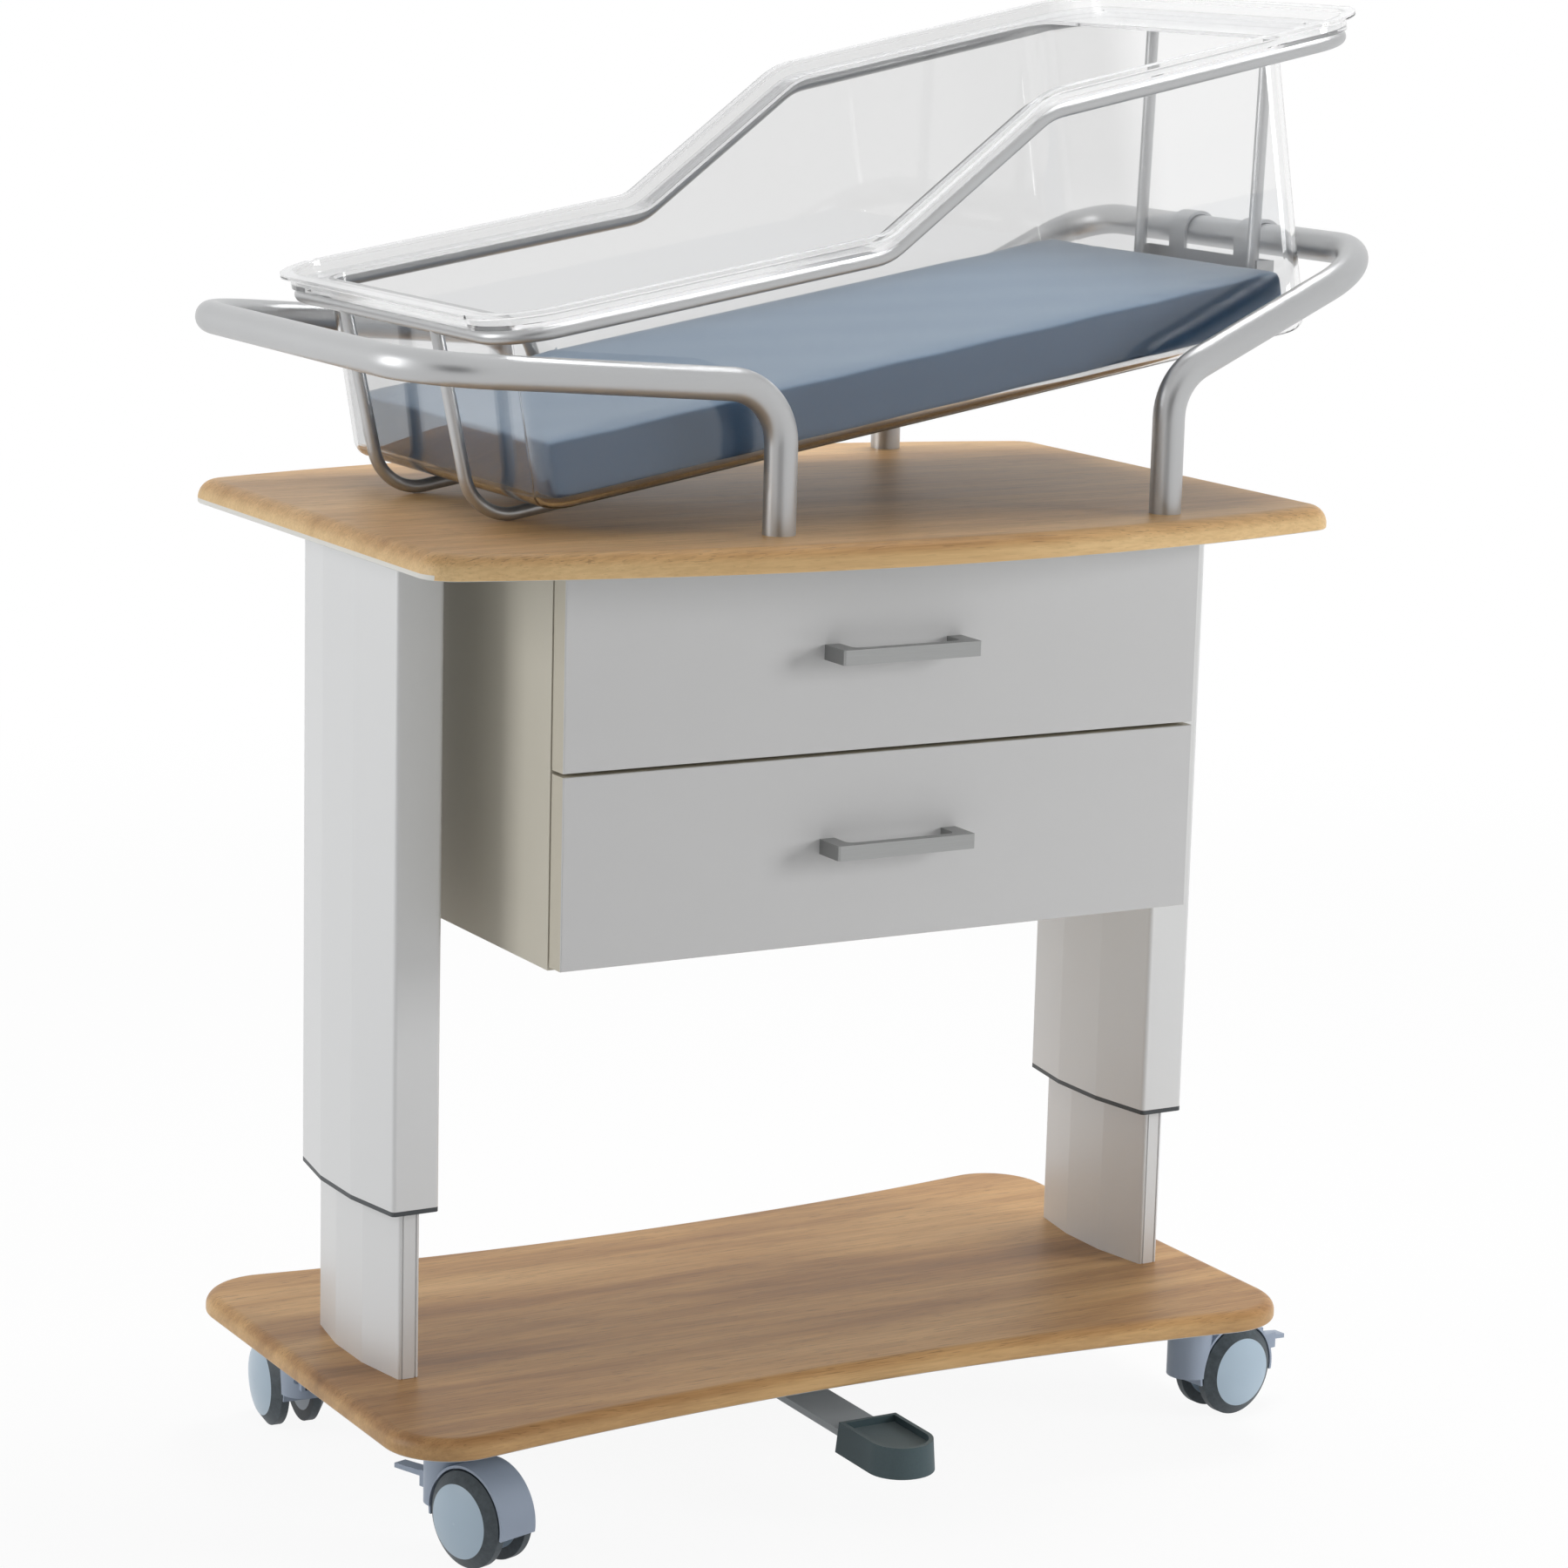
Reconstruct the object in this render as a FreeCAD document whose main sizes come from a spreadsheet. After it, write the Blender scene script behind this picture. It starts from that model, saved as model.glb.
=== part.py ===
import FreeCAD, Part
import math
import os
import re
import Sketcher

# Hospital bassinet: a clear tub in a tilting tube cradle, on a table carried by two
# telescopic columns, with two drawers, a castor base and a foot pedal for the height.
# Millimetres. +Z up, origin on the floor under the middle of the base board,
# +X towards the head end, -Y towards the drawer fronts.

doc = FreeCAD.newDocument("HospitalBassinet")
sheet = doc.addObject("Spreadsheet::Sheet", "Sizes")

SIZES = (
    # base board, bullnosed laminate
    ("base_length", 862),
    ("base_mid_depth", 424),
    ("base_end_depth", 498),
    ("base_thickness", 18),
    ("base_corner_round", 58),
    ("base_edge_round", 11),
    ("base_under_round", 4),
    ("base_top", 125),
    ("boards_to_foot", 6),
    # steel chassis screwed under the base board
    ("cross_plate_width", 84),
    ("cross_plate_length", 364),
    ("cross_plate_thickness", 9),
    ("cross_plate_round", 18),
    ("beam_length", 712),
    ("beam_width", 92),
    ("beam_height", 37.5),
    ("beam_end_height", 17),
    ("beam_full_length", 400),
    ("beam_wall", 3),
    # table board, barrel shaped in plan
    ("table_length", 850),
    ("table_mid_depth", 608),
    ("table_end_depth", 480),
    ("table_thickness", 20),
    ("table_corner_round", 30),
    ("table_edge_round", 16),
    ("table_under_round", 2),
    ("table_top", 838),
    # telescopic columns, three facets to each wide face
    ("column_spread", 369),
    ("column_width", 41.4),
    ("column_depth", 185),
    ("column_bow", 10),
    ("column_wall", 3.5),
    ("column_edge_round", 4),
    ("column_inset", 11.7),
    ("inner_column_bow", 9),
    ("inner_column_wall", 3),
    ("inner_column_round", 3),
    ("inner_column_top", 620),
    ("outer_column_bottom", 273.5),
    ("column_end_plate", 6),
    ("end_plate_gap", 0.2),
    ("column_groove_width", 1.5),
    ("column_groove_depth", 1),
    ("column_groove_place", 6),
    ("collar_lip", 4),
    ("collar_sleeve", 30),
    ("collar_gap", 0.3),
    # gas springs inside the columns
    ("spring_tube_radius", 5),
    ("spring_tube_height", 330),
    ("spring_rod_radius", 2.5),
    ("spring_rod_gap", 0.05),
    ("spring_tube_floor", 8),
    ("spring_rod_rise", 10),
    # drawer cabinet
    ("cabinet_width", 600),
    ("cabinet_bottom", 490),
    ("cabinet_front", 188),
    ("cabinet_back", 185),
    ("panel_thickness", 16),
    ("front_thickness", 20),
    ("front_gap", 3),
    ("front_bottom", 493.5),
    ("front_split", 652.5),
    ("front_top", 811),
    ("front_edge_round", 1),
    ("drawer_box_rise", 24),
    ("drawer_box_length", 342),
    ("drawer_box_height", 104),
    ("drawer_wall", 12),
    ("drawer_floor", 8),
    ("drawer_runner_thickness", 6),
    ("cabinet_runner_thickness", 7.7),
    ("runner_gap", 0.3),
    ("runner_height", 34),
    ("runner_length", 330),
    ("runner_setback", 4),
    ("runner_rise", 30),
    ("handle_length", 130),
    ("handle_height", 12.5),
    ("handle_reach", 32),
    ("handle_bar", 9),
    ("handle_foot", 14),
    ("handle_round", 6),
    ("handle_edge_round", 2),
    ("upper_handle_height", 737),
    ("lower_handle_height", 576),
    # bent tube rails on the table
    ("rail_radius", 13.5),
    ("rail_half_width", 228),
    ("rail_corner_round", 62),
    ("rail_leg_round", 50),
    ("foot_rail_leg", -120),
    ("foot_rail_end", -437),
    ("foot_rail_leg_rise", 118),
    ("foot_rail_end_rise", 142),
    ("head_rail_leg", 250.7),
    ("head_rail_end", 462),
    ("head_rail_leg_rise", 111.5),
    ("head_rail_end_rise", 212),
    ("rail_bolt_radius", 9),
    ("rail_bolt_socket", 3),
    ("rail_bolt_thickness", 4),
    # cradle: rim tube, two carrying rods and a hook plate
    ("cradle_tilt", 9.8),
    ("cradle_pivot", -290.3),
    ("cradle_rest_gap", 0.3),
    ("rod_radius", 5.5),
    ("rod_half_spacing", 87),
    ("rocker_round", 40),
    ("rod_head_round", 32),
    ("rod_head_foot", 723),
    ("rim_radius", 6),
    ("rim_half_width", 213),
    ("rim_corner_round", 45),
    ("rim_knee_round", 50),
    ("rim_foot", -45.6),
    ("rim_head", 779),
    ("rim_low", 167.5),
    ("rim_high", 254.3),
    ("rim_head_rise", 10.7),
    ("low_knee", 297.8),
    ("high_knee", 464.1),
    ("hook_gap", 0.6),
    ("hook_plate_thickness", 3),
    ("hook_return_end", 430),
    ("hook_plate_drop", 16),
    ("hook_plate_height", 30),
    ("hook_plate_arch", 46),
    ("hook_arch_round", 12),
    ("hook_strap_place", 50),
    ("hook_strap_width", 24),
    ("hook_strap_wrap", 40),
    ("hook_strap_overlap", 1),
    # clear tub that hangs in the rim
    ("tub_foot", -20.5),
    ("tub_head", 720.5),
    ("tub_half_width", 194),
    ("tub_bottom", 22),
    ("tub_wall", 4),
    ("tub_corner_round", 26),
    ("tub_bottom_round", 14),
    ("tub_seat_gap", 0.3),
    ("flange_thickness", 3.5),
    ("flange_overhang", 7.5),
    ("flange_rise", 20),
    ("lip_reach", 8),
    ("cut_margin", 60),
    ("slot_length", 10),
    ("slot_width", 3.6),
    ("slot_inset", 17),
    ("slot_place", 155),
    # mattress
    ("mattress_foot", -12.4),
    ("mattress_length", 716),
    ("mattress_width", 371),
    ("mattress_thickness", 52),
    ("mattress_bottom", 26.4),
    ("mattress_corner_round", 20),
    ("mattress_edge_round", 6),
    # castors
    ("castor_spread", 368),
    ("castors_to_head", 4),
    ("castor_half_spacing", 148),
    ("castor_trail", 42),
    ("wheel_radius", 40.5),
    ("wheel_inner_face", 11.5),
    ("wheel_tread_edge", 18.5),
    ("wheel_ring_radius", 31),
    ("wheel_ring_face", 25.5),
    ("wheel_dome", 5),
    ("axle_radius", 4),
    ("axle_gap", 0.05),
    ("hood_radius", 44.5),
    ("hood_wall", 2.2),
    ("hood_width", 37),
    ("hood_drop", 7),
    ("swivel_radius", 20),
    ("swivel_gap", 0.5),
    ("swivel_plate_radius", 25),
    ("swivel_plate_thickness", 5),
    ("stem_radius", 6),
    ("stem_gap", 0.05),
    ("stem_clear", 1),
    ("hood_web", 18),
    ("brake_width", 12),
    ("brake_thickness", 4),
    ("brake_gap", 0.3),
    ("brake_pin_radius", 2.5),
    ("near_pin_offset", 59),
    ("far_pin_offset", 50),
    ("brake_pin_height", 56),
    ("brake_barrel_radius", 5),
    ("brake_ear", 3.5),
    ("ear_overlap", 14),
    ("brake_pin_play", 0.05),
    ("brake_ear_margin", 2),
    ("brake_slot_margin", 3),
    ("brake_slot_clear", 1),
    ("brake_reach_foot", 43),
    ("brake_reach_head", 22),
    ("swing_foot_front", -74),
    ("swing_foot_back", 86),
    ("swing_head_front", 9),
    ("swing_head_back", 25),
    # foot pedal
    ("pedal_pin_radius", 5),
    ("pedal_pin_end", 1),
    ("pedal_pin_height", 50),
    ("pedal_barrel_radius", 9),
    ("pedal_gap", 0.05),
    ("pedal_side_gap", 0.3),
    ("pedal_arm_width", 44),
    ("pedal_arm_thickness", 6),
    ("pedal_arm_length", 252),
    ("pedal_place", 7),
    ("pedal_cheek_thickness", 4),
    ("pedal_pad_width", 56),
    ("pedal_pad_back", 195),
    ("pedal_pad_front", 277),
    ("pedal_pad_height", 27),
    ("pedal_pad_bottom", 43),
    ("pedal_pad_round", 27.5),
    ("pedal_pad_wall", 4),
    ("pedal_pad_hollow", 6),
    ("pedal_pad_taper", 4),
)
for line, (name, amount) in enumerate(SIZES, start=1):
    sheet.set("A%d" % line, name)
    sheet.set("B%d" % line, str(amount))
    sheet.setAlias("B%d" % line, name)
doc.recompute()
NAMES = {name for name, amount in SIZES}
NODES = []


def bound(formula):
    """A size formula with the sheet's name before every size, for setExpression."""
    return re.sub("[a-z_][a-z0-9_]*",
                  lambda word: "Sizes." * (word.group() in NAMES) + word.group(), str(formula))


def value(formula):
    """The number that a size formula stands for."""
    result = sheet.evalExpression(bound(formula))
    return float(getattr(result, "Value", result))


def bind(thing, **formulas):
    """Tie properties to size formulas; a double underscore stands for a dot."""
    for name, formula in formulas.items():
        thing.setExpression(name.replace("__", "."), bound(formula))


def node(thing, label):
    """Name an object that is a piece of the product and is exported."""
    thing.Label = label
    NODES.append(thing)
    return thing


def body(label):
    """A new PartDesign body."""
    made = doc.addObject("PartDesign::Body", label)
    made.Label = label
    return made


def sketch(owner, plane, offset=0):
    """A sketch on one of the body's origin planes, moved along the plane's normal."""
    made = owner.newObject("Sketcher::SketchObject", owner.Name + "_sketch")
    base = [item for item in owner.Origin.OriginFeatures if item.Role == plane + "_Plane"][0]
    made.AttachmentSupport = [(base, "")]
    made.MapMode = "FlatFace"
    bind(made, AttachmentOffset__Base__z=offset)
    return made


def pin_point(drawing, item, end, across, up):
    """Hold a sketch point at two size formulas from the sketch's origin."""
    for kind, axis, formula in (("DistanceX", -2, across), ("DistanceY", -1, up)):
        if str(formula) == "0":
            drawing.addConstraint(Sketcher.Constraint("PointOnObject", item, end, axis))
            continue
        index = drawing.addConstraint(Sketcher.Constraint(kind, -1, 1, item, end, value(formula)))
        bind(drawing, **{"Constraints[%d]" % index: formula})


def outline(drawing, corners, bulges=(), hollows=()):
    """Closed outline through corners; bulges and hollows hold the radius of the arc after a corner."""
    arcs = dict(bulges)
    arcs.update(hollows)
    points = [FreeCAD.Vector(value(across), value(up), 0) for across, up in corners]
    first = drawing.GeometryCount
    for place, start in enumerate(points):
        stop = points[(place + 1) % len(points)]
        if place not in arcs:
            drawing.addGeometry(Part.LineSegment(start, stop))
            continue
        radius = value(arcs[place])
        half = (stop - start).Length / 2
        along = (stop - start).normalize()
        outward = FreeCAD.Vector(along.y, -along.x, 0)
        if place in hollows:
            outward = outward * -1
        sagitta = radius - math.sqrt(radius ** 2 - half ** 2)
        middle = (start + stop) * 0.5 + outward * sagitta
        drawing.addGeometry(Part.Arc(start, middle, stop))
    begins = [2 if place in hollows else 1 for place in range(len(corners))]
    for place in range(len(corners)):
        after = (place + 1) % len(points)
        drawing.addConstraint(Sketcher.Constraint("Coincident", first + place, 3 - begins[place],
                                                  first + after, begins[after]))
    for place, (across, up) in enumerate(corners):
        pin_point(drawing, first + place, begins[place], across, up)
        if place in arcs:
            index = drawing.addConstraint(Sketcher.Constraint("Radius", first + place, value(arcs[place])))
            bind(drawing, **{"Constraints[%d]" % index: arcs[place]})


def rectangle(drawing, left, right, low, high):
    """An upright rectangle between four size formulas."""
    outline(drawing, [(left, low), (right, low), (right, high), (left, high)])


def circle(drawing, across, up, radius):
    """A circle about a point given by size formulas."""
    centre = FreeCAD.Vector(value(across), value(up), 0)
    item = drawing.addGeometry(Part.Circle(centre, FreeCAD.Vector(0, 0, 1), value(radius)))
    pin_point(drawing, item, 3, across, up)
    index = drawing.addConstraint(Sketcher.Constraint("Radius", item, value(radius)))
    bind(drawing, **{"Constraints[%d]" % index: radius})


def pad(owner, drawing, length, both_ways=False, backwards=False):
    """Grow a sketch into the body."""
    made = owner.newObject("PartDesign::Pad", owner.Name + "_pad")
    made.Profile = drawing
    made.SideType = "Symmetric" if both_ways else "One side"
    made.Reversed = backwards
    bind(made, Length=length)
    return made


def pocket(owner, drawing, length=None, both_ways=False, backwards=False):
    """Cut a sketch out of the body, right through if no length is given."""
    made = owner.newObject("PartDesign::Pocket", owner.Name + "_pocket")
    made.Profile = drawing
    made.SideType = "Symmetric" if both_ways else "One side"
    made.Reversed = backwards
    if length is None:
        made.Type = "ThroughAll"
    else:
        bind(made, Length=length)
    return made


def turned(owner, drawing, axis):
    """Spin a sketch a full turn about one of its own axes."""
    made = owner.newObject("PartDesign::Revolution", owner.Name + "_turn")
    made.Profile = drawing
    made.ReferenceAxis = (drawing, [axis])
    made.Angle = 360
    return made


def rounded(owner, radius, wanted):
    """Round the edges of the body's last feature that the test picks."""
    doc.recompute()
    last = owner.Tip
    names = ["Edge%d" % (place + 1) for place, edge in enumerate(last.Shape.Edges) if wanted(edge)]
    made = owner.newObject("PartDesign::Fillet", owner.Name + "_round")
    made.Base = (last, names)
    bind(made, Radius=radius)
    return made


def runs_along(edge, direction):
    """Whether an edge is straight and parallel to a direction."""
    if edge.Curve.TypeId != "Part::GeomLine":
        return False
    return abs(abs(edge.tangentAt(edge.FirstParameter).dot(direction)) - 1) < 1e-6


def lies_at_height(edge, height):
    """Whether an edge lies wholly in the level plane at a height."""
    return abs(edge.BoundBox.ZMin - height) < 1e-4 and abs(edge.BoundBox.ZMax - height) < 1e-4


ALONG_X = FreeCAD.Vector(1, 0, 0)
ALONG_Y = FreeCAD.Vector(0, 1, 0)
ALONG_Z = FreeCAD.Vector(0, 0, 1)


def bent_wire(points, bends):
    """A wire through points, with every inner corner rounded to its bend radius."""
    vectors = [FreeCAD.Vector(*point) for point in points]
    edges = []
    start = vectors[0]
    for place, radius in enumerate(bends):
        before, corner, after = vectors[place:place + 3]
        back = (before - corner).normalize()
        ahead = (after - corner).normalize()
        opening = math.acos(back.dot(ahead))
        reach = radius / math.tan(opening / 2)
        inward = (back + ahead).normalize()
        middle = corner + inward * (radius / math.sin(opening / 2) - radius)
        edges.append(Part.makeLine(start, corner + back * reach))
        edges.append(Part.Arc(corner + back * reach, middle, corner + ahead * reach).toShape())
        start = corner + ahead * reach
    edges.append(Part.makeLine(start, vectors[-1]))
    return Part.Wire(edges)


def bent_bar(label, radius, points, bends):
    """A round bar swept along a bent wire; points and bends are size formulas."""
    path = doc.addObject("Part::Feature", label + "_path")
    places = [[value(part) for part in point] for point in points]
    path.Shape = bent_wire(places, [value(bend) for bend in bends])
    section = doc.addObject("Part::Circle", label + "_section")
    bind(section, Radius=radius)
    first_run = FreeCAD.Vector(*places[1]) - FreeCAD.Vector(*places[0])
    section.Placement = FreeCAD.Placement(FreeCAD.Vector(*places[0]), FreeCAD.Rotation(ALONG_Z, first_run))
    made = doc.addObject("Part::Sweep", label)
    made.Sections = [section]
    made.Spine = (path, ["Edge%d" % (place + 1) for place in range(len(path.Shape.Edges))])
    made.Solid = True
    made.Frenet = False
    return made


def group(label, things):
    """Several separate solids as one object."""
    made = doc.addObject("Part::Compound", label)
    made.Links = things
    return made


def joined(label, things):
    """Several touching solids fused into one."""
    made = doc.addObject("Part::MultiFuse", label)
    made.Shapes = things
    made.Refine = True
    return made


def shared(label, things):
    """What several solids have in common."""
    made = doc.addObject("Part::MultiCommon", label)
    made.Shapes = things
    return made


def less(label, kept, removed):
    """One solid with another cut away."""
    made = doc.addObject("Part::Cut", label)
    made.Base = kept
    made.Tool = removed
    return made


def board(label, half_length, half_depth):
    """A rectangular panel body's sketch, centred on the origin."""
    made = body(label)
    drawing = sketch(made, "XY")
    rectangle(drawing, "-" + half_length, half_length, "-" + half_depth, half_depth)
    return made, drawing


# ---- base board ----
def arc_radius(chord, sagitta):
    """Radius of an arc over a chord that rises by a sagitta at its middle."""
    return "((%s * %s / 4 + %s * %s) / (2 * %s))" % (chord, chord, sagitta, sagitta, sagitta)


def board_form(label, name, end_depth, arcs):
    """A board with straight ends and two curved long edges."""
    made = body(label)
    drawing = sketch(made, "XY")
    ends = [("-%s / 2" % name, "-%s / 2" % end_depth), ("%s / 2" % name, "-%s / 2" % end_depth),
            ("%s / 2" % name, "%s / 2" % end_depth), ("-%s / 2" % name, "%s / 2" % end_depth)]
    outline(drawing, ends, **arcs)
    bind(made, Placement__Base__x="-boards_to_foot")
    return made, drawing


BASE_WAIST = arc_radius("base_length", "((base_end_depth - base_mid_depth) / 2)")
base_board, drawing = board_form("base_board", "base_length", "base_end_depth",
                                 {"hollows": {0: BASE_WAIST, 2: BASE_WAIST}})
pad(base_board, drawing, "base_thickness")
rounded(base_board, "base_corner_round", lambda edge: runs_along(edge, ALONG_Z))
rounded(base_board, "base_edge_round", lambda edge: lies_at_height(edge, value("base_thickness")))
rounded(base_board, "base_under_round", lambda edge: lies_at_height(edge, 0))
bind(base_board, Placement__Base__z="base_top - base_thickness")
node(base_board, "base_board")
BASE_UNDER = "(base_top - base_thickness)"
PLATE_UNDER = "(base_top - base_thickness - cross_plate_thickness)"

# ---- chassis: two cross plates for the castors and one beam between them ----
cross_plate, drawing = board("cross_plate", "cross_plate_width / 2", "cross_plate_length / 2")
pad(cross_plate, drawing, "cross_plate_thickness")
rounded(cross_plate, "cross_plate_round", lambda edge: runs_along(edge, ALONG_Z))
bores = sketch(cross_plate, "XY")
for sign in ("-", ""):
    circle(bores, 0, sign + "castor_half_spacing", "stem_radius + stem_gap")
pocket(cross_plate, bores, backwards=True)
plates = []
for side in ("-", "+"):
    plate = group("cross_plate_place", [cross_plate])
    bind(plate, Placement__Base__x="castors_to_head %s castor_spread" % side,
         Placement__Base__z=PLATE_UNDER)
    plates.append(plate)
node(group("chassis_cross_plates", plates), "chassis_cross_plates")

beam, drawing = board("chassis_beam", "beam_length / 2", "beam_width / 2")
pad(beam, drawing, "beam_height")
hollow = sketch(beam, "XY")
rectangle(hollow, "beam_wall - beam_length / 2", "beam_length / 2 - beam_wall",
          "beam_wall - beam_width / 2", "beam_width / 2 - beam_wall")
pocket(beam, hollow, "beam_height - beam_wall", backwards=True)
for sign in ("-", ""):
    taper = sketch(beam, "XZ")
    outline(taper, [(sign + "beam_full_length / 2", 0), (sign + "beam_length / 2", 0),
                    (sign + "beam_length / 2", "beam_height - beam_end_height")][::-1 if sign else 1])
    pocket(beam, taper, "2 * beam_width", both_ways=True)
bind(beam, Placement__Base__z=PLATE_UNDER + " - beam_height")
node(beam, "chassis_beam")
BEAM_UNDER = "(base_top - base_thickness - cross_plate_thickness - beam_height)"

# ---- table board ----
TABLE_BULGE = arc_radius("table_length", "((table_mid_depth - table_end_depth) / 2)")
table, drawing = board_form("table_board", "table_length", "table_end_depth",
                            {"bulges": {0: TABLE_BULGE, 2: TABLE_BULGE}})
pad(table, drawing, "table_thickness")
rounded(table, "table_corner_round", lambda edge: runs_along(edge, ALONG_Z))
rounded(table, "table_edge_round", lambda edge: lies_at_height(edge, value("table_thickness")))
rounded(table, "table_under_round", lambda edge: lies_at_height(edge, 0))
bind(table, Placement__Base__z="table_top - table_thickness")
node(table, "table_board")
TABLE_UNDER = "(table_top - table_thickness)"


# ---- telescopic columns ----
def facets(half_width, half_depth, bow):
    """Plan of a column: narrow flat ends and wide faces of three equal flats."""
    third = "(%s) / 3" % half_depth
    return [("-(%s)" % half_width, "-(%s)" % half_depth), (half_width, "-(%s)" % half_depth),
            ("%s + %s" % (half_width, bow), "-(%s)" % third), ("%s + %s" % (half_width, bow), third),
            (half_width, half_depth), ("-(%s)" % half_width, half_depth),
            ("-(%s + %s)" % (half_width, bow), third), ("-(%s + %s)" % (half_width, bow), "-(%s)" % third)]


def is_column_corner(edge, half_depth):
    """Whether an edge is one of the four upright corners at a column's narrow ends."""
    return runs_along(edge, ALONG_Z) and abs(abs(edge.BoundBox.YMin) - half_depth) < 1e-3


OUTER = ("column_width / 2", "column_depth / 2", "column_bow")
OUTER_HOLLOW = ("column_width / 2 - column_wall", "column_depth / 2 - column_wall", "column_bow")
INNER = ("column_width / 2 - column_inset", "column_depth / 2 - column_inset", "inner_column_bow")
INNER_HOLLOW = ("column_width / 2 - column_inset - inner_column_wall",
                "column_depth / 2 - column_inset - inner_column_wall", "inner_column_bow")
COLLAR_HOLE = ("column_width / 2 - column_inset + collar_gap",
               "column_depth / 2 - column_inset + collar_gap", "inner_column_bow")
COLLAR_SLEEVE = ("column_width / 2 - column_wall - collar_gap",
                 "column_depth / 2 - column_wall - collar_gap", "column_bow")


def column_form(label, plan, round_name, height, hollow_plan):
    """A hollow faceted tube standing on the origin."""
    made = body(label)
    drawing = sketch(made, "XY")
    outline(drawing, facets(*plan))
    pad(made, drawing, height)
    rounded(made, round_name, lambda edge: is_column_corner(edge, value(plan[1])))
    inside = sketch(made, "XY")
    outline(inside, facets(*hollow_plan))
    pocket(made, inside, backwards=True)
    return made


def plug(hollow_plan):
    """The plan of an end plate that sits inside a column's hollow."""
    return (hollow_plan[0] + " - end_plate_gap", hollow_plan[1] + " - end_plate_gap", hollow_plan[2])


inner_form = column_form("inner_column_form", INNER, "inner_column_round",
                         "inner_column_top - base_top", INNER_HOLLOW)
for sign in ("-", ""):
    for side in ("-", ""):
        groove = sketch(inner_form, "XY")
        edges = sorted([side + "(column_groove_place - column_groove_width / 2)",
                        side + "(column_groove_place + column_groove_width / 2)"], key=value)
        ends = sorted([sign + "(%s - column_groove_depth)" % INNER[1],
                       sign + "(%s + column_groove_depth)" % INNER[1]], key=value)
        rectangle(groove, edges[0], edges[1], ends[0], ends[1])
        pocket(inner_form, groove, backwards=True)
outer_form = column_form("outer_column_form", OUTER, "column_edge_round",
                         "table_top - table_thickness - outer_column_bottom", OUTER_HOLLOW)

collar_form = body("collar_form")
drawing = sketch(collar_form, "XY")
outline(drawing, facets(*OUTER))
pad(collar_form, drawing, "collar_lip")
rounded(collar_form, "column_edge_round", lambda edge: is_column_corner(edge, value(OUTER[1])))
drawing = sketch(collar_form, "XY", "collar_lip")
outline(drawing, facets(*COLLAR_SLEEVE))
pad(collar_form, drawing, "collar_sleeve")
drawing = sketch(collar_form, "XY")
outline(drawing, facets(*COLLAR_HOLE))
pocket(collar_form, drawing, backwards=True)

end_plate_form = body("column_plate_form")
drawing = sketch(end_plate_form, "XY")
outline(drawing, facets(*plug(OUTER_HOLLOW)))
pad(end_plate_form, drawing, "column_end_plate")

foot_plate_form = body("column_foot_form")
drawing = sketch(foot_plate_form, "XY")
outline(drawing, facets(*plug(INNER_HOLLOW)))
pad(foot_plate_form, drawing, "column_end_plate")

spring_tube_form = body("spring_tube_form")
drawing = sketch(spring_tube_form, "XY")
circle(drawing, 0, 0, "spring_tube_radius")
pad(spring_tube_form, drawing, "spring_tube_height")
drawing = sketch(spring_tube_form, "XY", "spring_tube_height")
circle(drawing, 0, 0, "spring_rod_radius + spring_rod_gap")
pocket(spring_tube_form, drawing, "spring_tube_height - spring_tube_floor")

ROD_LOW = "(outer_column_bottom + spring_rod_rise)"
spring_rod_form = body("spring_rod_form")
drawing = sketch(spring_rod_form, "XY")
circle(drawing, 0, 0, "spring_rod_radius")
pad(spring_rod_form, drawing, "table_top - table_thickness - column_end_plate - %s" % ROD_LOW)

COLUMN_FORMS = (
    ("column_foot_plate", foot_plate_form, "base_top"),
    ("inner_column", inner_form, "base_top"),
    ("spring_tube", spring_tube_form, "base_top + column_end_plate"),
    ("spring_rod", spring_rod_form, ROD_LOW),
    ("outer_column", outer_form, "outer_column_bottom"),
    ("column_collar", collar_form, "outer_column_bottom - collar_lip"),
    ("column_head_plate", end_plate_form, "table_top - table_thickness - column_end_plate"),
)
for end_name, sign in (("foot", "-"), ("head", "+")):
    for label, form, height in COLUMN_FORMS:
        placed = group(label + "_" + end_name, [form])
        bind(placed, Placement__Base__x=sign + "column_spread", Placement__Base__z=height)
        node(placed, label + "_" + end_name)

# ---- drawer cabinet ----
carcass = body("cabinet_carcass")
drawing = sketch(carcass, "XY")
rectangle(drawing, "-cabinet_width / 2", "cabinet_width / 2", "-cabinet_front", "cabinet_back")
pad(carcass, drawing, "table_top - table_thickness - cabinet_bottom")
for low, high in (("panel_thickness", "front_split - cabinet_bottom - panel_thickness / 2"),
                  ("front_split - cabinet_bottom + panel_thickness / 2",
                   "table_top - table_thickness - cabinet_bottom - panel_thickness")):
    bay = sketch(carcass, "XZ", "cabinet_front")
    rectangle(bay, "panel_thickness - cabinet_width / 2", "cabinet_width / 2 - panel_thickness", low, high)
    pocket(carcass, bay, "cabinet_front + cabinet_back - panel_thickness / 2")
bind(carcass, Placement__Base__z="cabinet_bottom")
node(carcass, "cabinet_carcass")

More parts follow.
